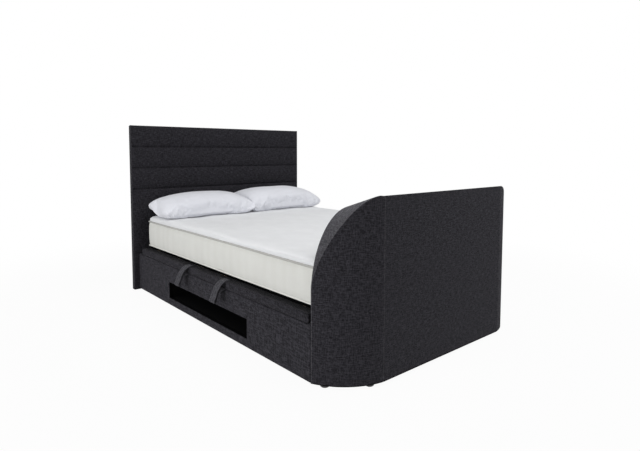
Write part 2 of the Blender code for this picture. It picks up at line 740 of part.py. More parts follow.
def media_box():
    """Black box behind the opening in the left side, open to the front, with a cable slot."""
    front_x = -INNER_HALF + JOINT_GAP
    back_x = front_x + MEDIA_DEPTH
    low = Vector((front_x, MEDIA_FOOT_Y - MEDIA_WALL, MEDIA_BOTTOM - MEDIA_WALL))
    high = Vector((back_x, MEDIA_HEAD_Y + MEDIA_WALL, MEDIA_BOTTOM + MEDIA_HEIGHT + MEDIA_WALL))
    case = box("media_box", low, high, "black_board")
    hollow = box("media_hollow", (front_x - OVERRUN, MEDIA_FOOT_Y, MEDIA_BOTTOM),
                 (back_x - MEDIA_WALL, MEDIA_HEAD_Y, MEDIA_BOTTOM + MEDIA_HEIGHT))
    boolean(case, hollow)
    middle_y = (MEDIA_FOOT_Y + MEDIA_HEAD_Y) / 2
    slot = box("cable_slot", (back_x - MEDIA_WALL - OVERRUN, middle_y - CABLE_SLOT_LENGTH / 2, MEDIA_BOTTOM),
               (back_x + OVERRUN, middle_y + CABLE_SLOT_LENGTH / 2, MEDIA_BOTTOM + CABLE_SLOT_HEIGHT))
    boolean(case, slot)


def corner_brackets():
    """Steel angles inside the corners of the base, each with the heads of its bolts."""
    low_z = FLOOR_TOP + JOINT_GAP
    ends = (("foot", 1, STORAGE_FOOT_Y), ("head", -1, STORAGE_HEAD_Y))
    for side_title, side in (("left", -1), ("right", 1)):
        for end_title, inward, end_y in ends:
            x = side * (INNER_HALF - JOINT_GAP)
            points = []
            for along, out in ((0, 0), (BRACKET_LEG, 0), (BRACKET_LEG, BRACKET_WALL),
                               (BRACKET_WALL, BRACKET_WALL), (BRACKET_WALL, BRACKET_LEG), (0, BRACKET_LEG)):
                points.append((x - side * along, end_y + inward * out))
            shapes = [plate("angle", points, "XY", low_z, low_z + BRACKET_HEIGHT)]
            leg_middle = (BRACKET_WALL + BRACKET_LEG) / 2
            bolt_reach = BRACKET_WALL + BOLT_HEAD
            for share in BOLT_HEIGHT_SHARES:
                z = low_z + BRACKET_HEIGHT * share
                shapes.append(drum("bolt", (x - side * leg_middle, end_y + inward * BRACKET_WALL / 2, z),
                                   (x - side * leg_middle, end_y + inward * bolt_reach, z),
                                   BOLT_RADIUS, sides=BOLT_SIDES))
                shapes.append(drum("bolt", (x - side * BRACKET_WALL / 2, end_y + inward * leg_middle, z),
                                   (x - side * bolt_reach, end_y + inward * leg_middle, z),
                                   BOLT_RADIUS, sides=BOLT_SIDES))
            refresh()
            union(f"corner_bracket_{side_title}_{end_title}", shapes, "black_steel")


def glide(name, x, y, stem, finish):
    """A black glide, rounded at its foot, with a stem where it is sunk in what it carries."""
    top = BASE_BOTTOM + stem if stem else GLIDE_HEIGHT
    profile = [(0, top), (GLIDE_RADIUS, top), (GLIDE_RADIUS, GLIDE_FOOT_RADIUS),
               (GLIDE_RADIUS - GLIDE_FOOT_RADIUS, 0), (0, 0)]
    obj = turned(name, profile, finish)
    obj.location = (x, y, 0)
    return obj


def footboard_glides():
    """Four separate glides under the footboard's rounded corners."""
    radius = WING_RADIUS - FOOTBOARD_GLIDE_INSET
    for title, side in (("left", -1), ("right", 1)):
        centre = wing_centre(side)
        for end, angle in FOOTBOARD_GLIDE_ANGLES.items():
            glide(f"footboard_glide_{title}_{end}", centre.x + side * radius * math.sin(angle),
                  centre.y - radius * math.cos(angle), 0, "black_plastic")


# Lid

def lid_frame(pivot):
    """Upholstered rails, ledges, centre beam and slats of the lifting lid."""
    box("lid_rail_left", (-HALF_WIDTH, LID_FOOT_Y, LID_BOTTOM), (-RAIL_INNER, LID_HEAD_Y, LID_TOP),
        "charcoal_weave", pivot, UPHOLSTERY_RADIUS)
    box("lid_rail_right", (RAIL_INNER, LID_FOOT_Y, LID_BOTTOM), (HALF_WIDTH, LID_HEAD_Y, LID_TOP),
        "charcoal_weave", pivot, UPHOLSTERY_RADIUS)
    half = RAIL_INNER - JOINT_GAP
    foot_inner = LID_FOOT_Y + LID_RAIL_WIDTH
    head_inner = LID_HEAD_Y - LID_RAIL_WIDTH
    box("lid_rail_foot", (-half, LID_FOOT_Y, LID_BOTTOM), (half, foot_inner, LID_TOP),
        "charcoal_weave", pivot, UPHOLSTERY_RADIUS)
    box("lid_rail_head", (-half, head_inner, LID_BOTTOM), (half, LID_HEAD_Y, LID_TOP),
        "charcoal_weave", pivot, UPHOLSTERY_RADIUS)
    low_y = foot_inner + JOINT_GAP
    high_y = head_inner - JOINT_GAP
    support_top = SLAT_BOTTOM - JOINT_GAP
    for title, side in (("left", -1), ("right", 1)):
        inner, outer = sorted((side * (half - LEDGE_WIDTH), side * half))
        box(f"slat_ledge_{title}", (inner, low_y, LID_BOTTOM), (outer, high_y, support_top), "timber", pivot)
    shapes = [box("beam", (-BEAM_WIDTH / 2, low_y, LID_BOTTOM),
                  (BEAM_WIDTH / 2, high_y, SLAT_BOTTOM + BEAM_HOUSING))]
    first = low_y + SLAT_END_SPACE + SLAT_WIDTH / 2
    last = high_y - SLAT_END_SPACE - SLAT_WIDTH / 2
    for index in range(SLAT_COUNT):
        middle = first + (last - first) * index / (SLAT_COUNT - 1)
        shapes.append(box("slat", (-half, middle - SLAT_WIDTH / 2, SLAT_BOTTOM),
                          (half, middle + SLAT_WIDTH / 2, SLAT_BOTTOM + SLAT_THICKNESS)))
    refresh()
    union("lid_slat_deck", shapes, "beech", pivot)


def plan_outward(x, y):
    """Direction out of the mattress's rounded plan at a point on its border."""
    over_x = max(abs(x) - (MATTRESS_WIDTH / 2 - MATTRESS_CORNER), 0)
    over_y = max(abs(y) - (MATTRESS_LENGTH / 2 - MATTRESS_CORNER), 0)
    return Vector((math.copysign(over_x, x), math.copysign(over_y, y))).normalized()


def mattress(pivot):
    """Sprung mattress with a crowned top, piped edges and a border drawn in between them."""
    half_x = MATTRESS_WIDTH / 2 - PIPING_RADIUS
    half_y = MATTRESS_LENGTH / 2 - PIPING_RADIUS
    corner = MATTRESS_CORNER - PIPING_RADIUS
    bm = bmesh.new()
    bmesh.ops.create_grid(bm, x_segments=MATTRESS_COLUMNS, y_segments=MATTRESS_ROWS, size=1)
    for vert in bm.verts:
        across = eased(vert.co.x)
        along = eased(vert.co.y)
        crown = (1 - abs(across) ** PLATEAU_POWER) * (1 - abs(along) ** PLATEAU_POWER)
        x = across * half_x
        y = along * half_y
        over = Vector((max(abs(x) - half_x + corner, 0), max(abs(y) - half_y + corner, 0)))
        if over.x > 0 and over.y > 0:
            pulled = over.normalized() * max(over)
            x = math.copysign(half_x - corner + pulled.x, x)
            y = math.copysign(half_y - corner + pulled.y, y)
        vert.co = (x, y, PIPING_Z + PIPING_RADIUS + MATTRESS_CROWN * crown)
    low_piping = MATTRESS_BOTTOM + MATTRESS_BOTTOM_ROLL
    middle = (PIPING_Z + low_piping) / 2
    rings = [
        (0, PIPING_Z),
        (PIPING_RADIUS + BORDER_DRAW / 2, PIPING_Z - PIPING_RADIUS),
        (BORDER_DRAW, middle),
        (PIPING_RADIUS + BORDER_DRAW / 2, low_piping + PIPING_RADIUS),
        (BORDER_DRAW / 2, low_piping),
        (PIPING_RADIUS + BORDER_DRAW, low_piping - PIPING_RADIUS),
        (MATTRESS_BOTTOM_ROLL, MATTRESS_BOTTOM),
    ]
    rim = [edge for edge in bm.edges if edge.is_boundary]
    inset = PIPING_RADIUS
    for next_inset, z in rings:
        grown = bmesh.ops.extrude_edge_only(bm, edges=rim)["geom"]
        for vert in grown:
            if isinstance(vert, bmesh.types.BMVert):
                out = plan_outward(vert.co.x, vert.co.y) * (inset - next_inset)
                vert.co = (vert.co.x + out.x, vert.co.y + out.y, z)
        rim = [edge for edge in grown if isinstance(edge, bmesh.types.BMEdge) and edge.is_boundary]
        inset = next_inset
    bmesh.ops.contextual_create(bm, geom=rim)
    middle_y = (MATTRESS_FOOT_Y + MATTRESS_HEAD_Y) / 2
    add("mattress", mesh_from(bm), "ticking", (0, middle_y, 0), parent=pivot)


def pillow(name, side, pivot):
    """A pillow on the mattress, crowned above, flat where it lies, with drawn-in sides."""
    seam_z = MATTRESS_TOP + JOINT_GAP + PILLOW_SINK
    bm = bmesh.new()
    for face_sign in (1, -1):
        made = bmesh.ops.create_grid(bm, x_segments=PILLOW_COLUMNS, y_segments=PILLOW_ROWS, size=1)
        for vert in made["verts"]:
            across = eased(vert.co.x)
            along = eased(vert.co.y)
            loft = ((1 - abs(across) ** PILLOW_POWERS[0]) * (1 - abs(along) ** PILLOW_POWERS[1]))
            loft = max(loft, 0) ** PILLOW_ROUND
            if face_sign > 0:
                z = PILLOW_LOFT * loft
            else:
                z = -PILLOW_SINK * min(loft * PILLOW_FLAT_SHARE, 1)
            draw_x = 1 - PILLOW_DRAW_SHARES[0] * (1 - along ** 2)
            draw_y = 1 - PILLOW_DRAW_SHARES[1] * (1 - across ** 2)
            vert.co = (across * draw_x * PILLOW_LENGTH / 2, along * draw_y * PILLOW_DEPTH / 2, z)
    bmesh.ops.remove_doubles(bm, verts=bm.verts, dist=MERGE_DISTANCE)
    place = (side * (PILLOW_LENGTH + PILLOW_SPACE) / 2, FACE_Y - PILLOW_HEAD_GAP - PILLOW_DEPTH / 2, seam_z)
    add(name, mesh_from(bm), "cotton", place, parent=pivot)


def bezier(first, second, third, fourth):
    """Points along one cubic stretch, without its start."""
    points = []
    for step in range(1, STRAP_STEPS + 1):
        share = step / STRAP_STEPS
        rest = 1 - share
        weights = (rest ** 3, 3 * rest ** 2 * share, 3 * rest * share ** 2, share ** 3)
        corners = (first, second, third, fourth)
        points.append(tuple(sum(weight * corner[axis] for weight, corner in zip(weights, corners))
                            for axis in (0, 1)))
    return points


def strap(name, foot_space, pivot):
    """A webbing pull: from the lid's top, out and down in a loop, back into the seam below."""
    thickness = LID_SEAM - 2 * JOINT_GAP
    edge_x = -HALF_WIDTH
    top_z = LID_TOP + JOINT_GAP + thickness / 2
    low_z = HINGE_Z - STRAP_DROP
    out_x = edge_x - STRAP_REACH
    back_x = edge_x - STRAP_RETURN
    turn_z = low_z + (STRAP_REACH - STRAP_RETURN) / 2
    lean_x = out_x + STRAP_LEAN
    start = (edge_x - thickness, top_z)
    outer = (out_x, turn_z)
    inner = (back_x, turn_z)
    seam = (edge_x - thickness, HINGE_Z)
    route = [(edge_x + STRAP_TUCK, top_z), start]
    route += bezier(start, (lean_x, top_z), (lean_x, (top_z + turn_z) / 2), outer)
    route += bezier(outer, (out_x, low_z - thickness), (back_x, low_z - thickness), inner)
    route += bezier(inner, (back_x + STRAP_LEAN, HINGE_Z - thickness), (back_x + STRAP_LEAN, HINGE_Z), seam)
    route.append((edge_x + STRAP_SEAM_TUCK, HINGE_Z))
    bm = bmesh.new()
    verts = [bm.verts.new((x, -STRAP_WIDTH / 2, z)) for x, z in route]
    edges = [bm.edges.new(pair) for pair in zip(verts, verts[1:])]
    grown = bmesh.ops.extrude_edge_only(bm, edges=edges)["geom"]
    bmesh.ops.translate(bm, vec=(0, STRAP_WIDTH, 0),
                        verts=[vert for vert in grown if isinstance(vert, bmesh.types.BMVert)])
    mesh = mesh_from(bm)
    obj = add(name, mesh, "charcoal_webbing", (0, FOOT_Y + foot_space, 0), parent=pivot)
    shell = obj.modifiers.new("webbing", "SOLIDIFY")
    shell.thickness = thickness
    shell.offset = 0
    shell.use_even_offset = True


def buffers():
    """Rubber pads on the left side that the closed lid lands on."""
    x = -(HALF_WIDTH + INNER_HALF) / 2
    for title, y in (("foot", LID_FOOT_Y + LID_RAIL_WIDTH), ("head", LID_HEAD_Y - LID_RAIL_WIDTH)):
        drum(f"lid_buffer_{title}", (x, y, BASE_TOP + JOINT_GAP), (x, y, LID_BOTTOM - JOINT_GAP),
             BUFFER_RADIUS, "rubber")


# Hinge

def hinge_half(title, first, step, leaf_low):
    """One leaf of the continuous hinge with every other knuckle, from a first one on."""
    low_y = LID_FOOT_Y + HINGE_END_SPACE
    high_y = LID_HEAD_Y - HINGE_END_SPACE
    pitch = (high_y - low_y) / KNUCKLE_COUNT
    leaf_high = leaf_low + LEAF_THICKNESS
    shapes = [box(title, (HALF_WIDTH - LEAF_WIDTH, low_y, leaf_low), (HALF_WIDTH, high_y, leaf_high))]
    for index in range(first, KNUCKLE_COUNT, step):
        start = low_y + pitch * index + JOINT_GAP
        stop = low_y + pitch * (index + 1) - JOINT_GAP
        shapes.append(drum("knuckle", (HINGE_X, start, HINGE_Z), (HINGE_X, stop, HINGE_Z), KNUCKLE_RADIUS,
                           sides=KNUCKLE_SIDES))
        shapes.append(box("tab", (HALF_WIDTH - LEAF_WIDTH / 2, start, leaf_low), (HINGE_X, stop, leaf_high)))
    return shapes, low_y, high_y


def hinge(pivot):
    """Continuous hinge along the right side: leaves in the seam, knuckles just outside it."""
    shapes, low_y, high_y = hinge_half("fixed_leaf", 1, 2, BASE_TOP + JOINT_GAP)
    shapes.append(drum("pin", (HINGE_X, low_y, HINGE_Z), (HINGE_X, high_y, HINGE_Z), HINGE_PIN_RADIUS,
                       sides=KNUCKLE_SIDES))
    refresh()
    union("hinge_fixed_leaf", shapes, "bright_steel")
    shapes, low_y, high_y = hinge_half("moving_leaf", 0, 2, LID_BOTTOM - JOINT_GAP - LEAF_THICKNESS)
    bore = drum("hinge_bore", (HINGE_X, low_y - OVERRUN, HINGE_Z), (HINGE_X, high_y + OVERRUN, HINGE_Z),
                HINGE_PIN_RADIUS + 2 * JOINT_GAP, sides=KNUCKLE_SIDES)
    refresh()
    boolean(union("hinge_moving_leaf", shapes, "bright_steel", pivot), bore)


# Gas struts

def strut_ends():
    """Depth of each strut's plate faces: its name, its seat and the direction away from it."""
    foot_seat = LID_FOOT_Y + LID_RAIL_WIDTH + JOINT_GAP
    head_seat = LID_HEAD_Y - LID_RAIL_WIDTH - JOINT_GAP
    return (("foot", foot_seat, 1), ("head", head_seat, -1))


def stud_shapes(name, centre, face_y, away):
    """A stud with its shoulder and head, standing off a plate's face."""
    middle = STRUT_RADIUS + STRUT_STAND_OFF
    shoulder = middle - EYE_WIDTH / 2 - JOINT_GAP
    head = middle + EYE_WIDTH / 2 + JOINT_GAP
    shapes = []
    for part, start, stop, radius in (("stud", -BRACKET_PLATE / 2, head + STUD_HEAD / 2, STUD_RADIUS),
                                      ("shoulder", -BRACKET_PLATE / 2, shoulder, STUD_HEAD_RADIUS),
                                      ("head", head, head + STUD_HEAD, STUD_HEAD_RADIUS)):
        shapes.append(drum(f"{name}_{part}", (centre.x, face_y + away * start, centre.z),
                           (centre.x, face_y + away * stop, centre.z), radius))
    return shapes


def strut_brackets(pivot):
    """Plates with studs: two hang from the lid's end rails, two stand on the right side."""
    for title, seat, away in strut_ends():
        face = seat + away * BRACKET_PLATE
        low_y, high_y = sorted((seat, face))
        bottom = STUD.z - LID_BRACKET_MARGIN
        shapes = [box(f"lid_plate_{title}", (STUD.x - LID_BRACKET_WIDTH / 2, low_y, bottom),
                      (STUD.x + LID_BRACKET_WIDTH / 2, high_y, SLAT_BOTTOM - 2 * JOINT_GAP))]
        shapes += stud_shapes(f"lid_{title}", STUD, face, away)
        refresh()
        union(f"lid_strut_bracket_{title}", shapes, "black_steel", pivot)
        wall = INNER_HALF - JOINT_GAP
        low_z = ANCHOR.z - BASE_BRACKET_HEIGHT / 2
        high_z = ANCHOR.z + BASE_BRACKET_HEIGHT / 2
        web = box(f"base_web_{title}", (ANCHOR.x - LID_BRACKET_MARGIN, low_y, low_z),
                  (wall, high_y, high_z))
        flange_low, flange_high = sorted((seat, seat + away * BASE_BRACKET_FLANGE))
        flange = box(f"base_flange_{title}", (wall - BRACKET_PLATE, flange_low, low_z),
                     (wall, flange_high, high_z))
        shapes = [web, flange] + stud_shapes(f"base_{title}", ANCHOR, face, away)
        refresh()
        union(f"base_strut_bracket_{title}", shapes, "black_steel")


def eye(obj, name, reach, bore_radius, parent):
    """Add an eye across a strut's axis at a reach along it."""
    middle = Vector((0, 0, reach))
    across = Vector((0, EYE_WIDTH / 2, 0))
    ring = drum(name + "_ring", middle - across, middle + across, EYE_RADIUS)
    hole = drum(name + "_hole", middle - 2 * across, middle + 2 * across, bore_radius)
    for shape in (ring, hole):
        shape.parent = parent
    boolean(obj, ring, "UNION")
    boolean(obj, hole)


def struts():
    """Two gas struts: a cylinder on the base's stud and a rod that reaches the lid's stud."""
    along = STUD - ANCHOR
    tilt = math.atan2(along.x, along.z)
    for title, seat, away in strut_ends():
        middle_y = seat + away * (BRACKET_PLATE + STRUT_RADIUS + STRUT_STAND_OFF)
        anchor = empty(f"strut_{title}_pivot", (ANCHOR.x, middle_y, ANCHOR.z), (0, tilt, 0))
        body = [(0, ROD_TOE - ROD_RADIUS), (STRUT_BORE_RADIUS, ROD_TOE - ROD_RADIUS),
                (STRUT_BORE_RADIUS, STRUT_BODY_LENGTH), (STRUT_RADIUS, STRUT_BODY_LENGTH),
                (STRUT_RADIUS, STRUT_BASE), (EYE_WIDTH / 2, EYE_RADIUS),
                (EYE_WIDTH / 2, EYE_WIDTH / 2), (0, EYE_WIDTH / 2)]
        cylinder = turned(f"strut_{title}_cylinder", body, "black_steel", anchor)
        eye(cylinder, f"cylinder_{title}", 0, STUD_RADIUS + STUD_PLAY, anchor)
        shaft = [(0, STRUT_LENGTH - EYE_WIDTH / 2), (ROD_RADIUS, STRUT_LENGTH - EYE_WIDTH / 2),
                 (ROD_RADIUS, ROD_TOE), (0, ROD_TOE)]
        rod = turned(f"strut_{title}_rod", shaft, "bright_steel", anchor)
        eye(rod, f"rod_{title}", STRUT_LENGTH, STUD_RADIUS + OPEN_PIVOT_PLAY, anchor)


def build():
    """Build every part of the bed."""
    footboard()
    television_lift()
    headboard()
    side_panels()
    end_rails()
    storage_floor()
    media_box()
    corner_brackets()
    footboard_glides()
    buffers()
    pivot = empty("lid_pivot", (HINGE_X, 0, HINGE_Z))
    lid_frame(pivot)
    mattress(pivot)
    pillow("pillow_left", -1, pivot)
    pillow("pillow_right", 1, pivot)
    for title, foot_space in STRAP_POSITIONS.items():
        strap(f"pull_strap_{title}", foot_space, pivot)
    hinge(pivot)
    strut_brackets(pivot)
    struts()


build()
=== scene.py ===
"""Looks of an upholstered television bed: woven cover, mattress, pillows, camera and studio light.

Metres, +Z up, +Y towards the headboard, -X towards the side with the pull straps.
"""
from __future__ import annotations

import json
import logging
import math
from dataclasses import dataclass, field, replace
from enum import Enum
from typing import Callable, Optional, Sequence, Union

import bmesh
import bpy
import numpy as np
from mathutils import Matrix, Vector, noise


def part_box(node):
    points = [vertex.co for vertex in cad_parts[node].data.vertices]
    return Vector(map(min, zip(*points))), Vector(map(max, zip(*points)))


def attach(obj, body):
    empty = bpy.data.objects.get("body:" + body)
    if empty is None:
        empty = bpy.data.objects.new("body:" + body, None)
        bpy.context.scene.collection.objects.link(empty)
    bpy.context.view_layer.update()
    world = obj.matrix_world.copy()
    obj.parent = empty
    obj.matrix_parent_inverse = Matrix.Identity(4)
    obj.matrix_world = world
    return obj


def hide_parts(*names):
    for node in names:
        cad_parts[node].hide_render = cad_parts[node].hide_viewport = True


log = logging.getLogger("television_bed")

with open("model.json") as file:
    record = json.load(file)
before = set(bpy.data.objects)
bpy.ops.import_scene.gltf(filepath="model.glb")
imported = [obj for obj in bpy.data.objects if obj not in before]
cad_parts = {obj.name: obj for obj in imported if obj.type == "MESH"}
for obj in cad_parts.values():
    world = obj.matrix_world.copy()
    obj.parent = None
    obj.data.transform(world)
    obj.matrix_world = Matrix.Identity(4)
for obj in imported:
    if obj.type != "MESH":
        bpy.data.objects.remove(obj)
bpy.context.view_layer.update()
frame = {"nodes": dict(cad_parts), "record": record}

Shape = bmesh.types.BMesh
Edge = bmesh.types.BMEdge
Face = bmesh.types.BMFace
Vert = bmesh.types.BMVert
Material = bpy.types.Material
Object = bpy.types.Object
Place = tuple[float, float, float]
Colour = tuple[float, float, float]
Pair = tuple[float, float]
Sockets = dict[Union[str, int], object]
Value = Union[float, int, "Signal"]


class Side(Enum):
    """The two long sides of the bed."""

    LEFT = -1
    RIGHT = 1

    def pick(self, pair: Pair) -> float:
        """The left or the right one of a pair."""
        return pair[0 if self is Side.LEFT else 1]


class Grain(Enum):
    """The axis that a board's grain follows, as its row in a stretch of the pattern."""

    ALONG_X = (1.0, 14.0, 14.0)
    ALONG_Y = (14.0, 1.0, 14.0)


class Signal:
    """A shader socket that takes part in sums, products and powers."""

    def __init__(self, board: Board, socket: bpy.types.NodeSocket) -> None:
        """Keep an output socket and the board that it is on."""
        self.board = board
        self.socket = socket

    def __add__(self, other: Value) -> Signal:
        """Sum of the two."""
        return self.board.math("ADD", self, other)

    __radd__ = __add__

    def __sub__(self, other: Value) -> Signal:
        """This less the other."""
        return self.board.math("SUBTRACT", self, other)

    def __rsub__(self, other: Value) -> Signal:
        """The other less this."""
        return self.board.math("SUBTRACT", other, self)

    def __mul__(self, other: Value) -> Signal:
        """Product of the two."""
        return self.board.math("MULTIPLY", self, other)

    __rmul__ = __mul__

    def __truediv__(self, other: Value) -> Signal:
        """This over the other."""
        return self.board.math("DIVIDE", self, other)

    def __pow__(self, other: Value) -> Signal:
        """This to the power of the other."""
        return self.board.math("POWER", self, other)

    def __abs__(self) -> Signal:
        """This without its sign."""
        return self.board.math("ABSOLUTE", self)

    def sine(self) -> Signal:
        """Sine of this."""
        return self.board.math("SINE", self)

    def between(self, low: float, high: float) -> Signal:
        """Smooth rise from 0 at low to 1 at high."""
        return self.board.signal("ShaderNodeMapRange", {"interpolation_type": "SMOOTHSTEP"},
                                 {0: self, 1: low, 2: high, 3: 0.0, 4: 1.0})


class Board:
    """Node board of one material, or of the sky."""

    MIX_FACTOR, MIX_FIRST, MIX_SECOND, MIX_RESULT = 0, 6, 7, 2

    def __init__(self, owner: Union[Material, bpy.types.World]) -> None:
        """Take up the nodes of a material or world.

        Args:
            owner: what the nodes belong to.
        """
        self.owner = owner
        owner.use_nodes = True
        self.tree = owner.node_tree

    def node(self, kind: str, settings: dict[str, object], sockets: Sockets) -> bpy.types.Node:
        """Add a node, set it up, then fill its sockets.

        Args:
            kind: the node's type.
            settings: its properties.
            sockets: values or signals for its inputs, by name or number.

        Returns:
            The new node.
        """
        made = self.tree.nodes.new(kind)
        for key, value in settings.items():
            setattr(made, key, value)
        for key, value in sockets.items():
            self.feed(made.inputs[key], value)
        return made

    def feed(self, socket: bpy.types.NodeSocket, value: object) -> None:
        """Link a signal to a socket, or set the socket's own value.

        Args:
            socket: the input.
            value: a signal, a number, a vector or a colour.
        """
        if isinstance(value, Signal):
            self.tree.links.new(value.socket, socket)
        elif socket.type == "RGBA":
            socket.default_value = (*value, 1.0)
        else:
            socket.default_value = value

    def signal(self, kind: str, settings: dict[str, object], sockets: Sockets,
               output: Union[str, int] = 0) -> Signal:
        """Add a node and take one of its outputs."""
        return Signal(self, self.node(kind, settings, sockets).outputs[output])

    def math(self, operation: str, first: Value, second: Value = 0.0) -> Signal:
        """A Math node on one or two values."""
        return self.signal("ShaderNodeMath", {"operation": operation}, {0: first, 1: second})

    def object_place(self) -> Signal:
        """Place on the piece, in metres."""
        return self.signal("ShaderNodeTexCoord", {}, {}, "Object")

    def cloth_place(self) -> Signal:
        """Place on the laid cloth, in metres along and across it."""
        return self.signal("ShaderNodeTexCoord", {}, {}, "UV")

    def parts(self, place: Signal) -> tuple[Signal, Signal, Signal]:
        """The three numbers of a place."""
        made = self.node("ShaderNodeSeparateXYZ", {}, {0: place})
        return tuple(Signal(self, output) for output in made.outputs)

    def stretched(self, place: Signal, scale: Place) -> Signal:
        """A place with each axis multiplied."""
        return self.signal("ShaderNodeVectorMath", {"operation": "MULTIPLY"}, {0: place, 1: scale})

    def noise(self, place: Signal, scale: float, detail: float = 2.0,
              roughness: float = 0.5) -> Signal:
        """Cloudy noise round a half: clouds in a metre, finer layers, share that each one keeps."""
        return self.signal("ShaderNodeTexNoise", {}, {"Vector": place, "Scale": scale,
                                                      "Detail": detail, "Roughness": roughness})

    def mix(self, share: Value, first: Union[Colour, Signal],
            second: Union[Colour, Signal]) -> Signal:
        """Blend of two colours, the second by its share."""
        sockets = {self.MIX_FACTOR: share, self.MIX_FIRST: first, self.MIX_SECOND: second}
        return self.signal("ShaderNodeMix", {"data_type": "RGBA"}, sockets, self.MIX_RESULT)

    def shade(self, colour: Signal, share: Value) -> Signal:
        """A colour with its light multiplied by a share."""
        return self.signal("ShaderNodeVectorMath", {"operation": "SCALE"},
                           {0: colour, "Scale": share})

    def bump(self, height: Signal, depth: float) -> Signal:
        """Surface direction of a height, whose 1 is as deep in metres as the depth says."""
        return self.signal("ShaderNodeBump", {},
                           {"Height": height, "Distance": depth, "Strength": 1.0}, "Normal")

    def finish(self, **sockets: object) -> Material:
        """Fill the shader's sockets; an underscore in a name stands for a space."""
        for key, value in sockets.items():
            self.feed(self.tree.nodes["Principled BSDF"].inputs[key.replace("_", " ")], value)
        return self.owner


def dimmed(colour: Colour, share: float) -> Colour:
    """A share of a colour."""
    return tuple(part * share for part in colour)


@dataclass(frozen=True)
class Finish:
    """A named finish."""

    name: str

    def material(self) -> Material:
        """Build the material, which each kind of finish does in its own way."""
        raise NotImplementedError

    def board(self) -> Board:
        """A new material's board, under the finish's name."""
        return Board(bpy.data.materials.new(self.name))


@dataclass(frozen=True)
class Weave(Finish):
    """Plain weave of slubby yarn, with painted shade in its gaps, for the cover, the straps and the
    undercloth.
    """

    dark: Colour
    light: Colour
    pitch: float
    depth: float
    slub_width: float = 0.0042
    slub_length: float = 0.024
    mottle_size: float = 0.0085
    fleck_share: float = 0.0
    roughness: float = 0.9
    sheen: float = 0.0
    sheen_tint: Colour = (1.0, 1.0, 1.0)
    stitch_rows: tuple[float, ...] = ()
    cloud_size: float = 0.0095
    # painted shadow: distances from the bed's middle over which the colour brightens from dark to
    # full
    painted_shadow_edge: tuple[float, ...] = ()
    specular: float = 0.12

    ROUND_POWER, GAP_POWER = 0.6, 0.25
    STREAK_SHARE, MOTTLE_SHARE, CLOUD_SHARE = 0.62, 0.22, 0.16
    FLECKS = (300.0, 150.0, 1.0)
    STITCH_LENGTH = 0.0045
    THREAD_EDGE = (0.0006, 0.0024)
    # painted shade: share of the colour kept in the gaps between yarns, and the extra on the yarns'
    # tops
    GAP_LIGHT, YARN_LIGHT = 0.72, 0.36
    LEAST_PAINTED_LIGHT = 0.04

    def material(self) -> Material:
        """Build the woven material.

        Returns:
            The material, which reads the piece's own cloth coordinates.
        """
        board = self.board()
        place = board.cloth_place()
        along, across, _ = board.parts(place)
        warp, weft = along / self.pitch, across / self.pitch
        square = board.math("FLOOR", warp) + board.math("FLOOR", weft)
        parity = board.math("MODULO", abs(square), 2.0)
        warp_round, weft_round = abs((warp * math.pi).sine()), abs((weft * math.pi).sine())
        yarn_up = warp_round ** self.ROUND_POWER * weft_round ** self.GAP_POWER
        yarn_across = weft_round ** self.ROUND_POWER * warp_round ** self.GAP_POWER
        height = yarn_up * parity + yarn_across * (1.0 - parity)
        narrow, long = 1 / self.slub_width, 1 / self.slub_length
        upright = board.noise(board.stretched(place, (narrow, long, 1.0)), 1.0, 1.0)
        level = board.noise(board.stretched(place, (long, narrow, 1.0)), 1.0, 1.0)
        streak = upright.between(0.40, 0.62) * 0.45 + level.between(0.42, 0.64) * 0.55
        mottle = board.noise(place, 1 / self.mottle_size, 2.0, 0.65).between(0.36, 0.64)
        cloud = board.noise(place, 1 / self.cloud_size, 3.0, 0.7).between(0.30, 0.70)
        share = streak * self.STREAK_SHARE + mottle * self.MOTTLE_SHARE + cloud * self.CLOUD_SHARE
        if self.fleck_share:
            fleck = board.noise(board.stretched(place, self.FLECKS), 1.0, 1.0)
            share = share + fleck.between(0.62, 0.74) * self.fleck_share
        colour = board.mix(share, self.dark, self.light)
        relief = height + streak * 0.35
        for row in self.stitch_rows:
            line = 1.0 - abs(across - row).between(*self.THREAD_EDGE)
            run = abs((along * (math.pi / self.STITCH_LENGTH)).sine()).between(0.15, 0.5)
            relief = relief - line * 2.2 + line * run * 2.6
            colour = board.mix(line * run * 0.6, colour, self.light)
        # painted shade: the colour is darkened where the weave's relief is low, in the gaps between
        # yarns
        light = self.GAP_LIGHT + height * self.YARN_LIGHT
        # painted shadow: the colour darkens towards the bed's middle, standing in for the
        # mattress's shadow on the lid's ledge
        if self.painted_shadow_edge:
            outwards = abs(board.parts(board.object_place())[0]).between(*self.painted_shadow_edge)
            light = light * (self.LEAST_PAINTED_LIGHT + outwards * (1 - self.LEAST_PAINTED_LIGHT))
        return board.finish(Base_Color=board.shade(colour, light), Roughness=self.roughness,
                            Sheen_Weight=self.sheen, Sheen_Roughness=0.25,
                            Sheen_Tint=self.sheen_tint, Specular_IOR_Level=self.specular,
                            Normal=board.bump(relief, self.depth))


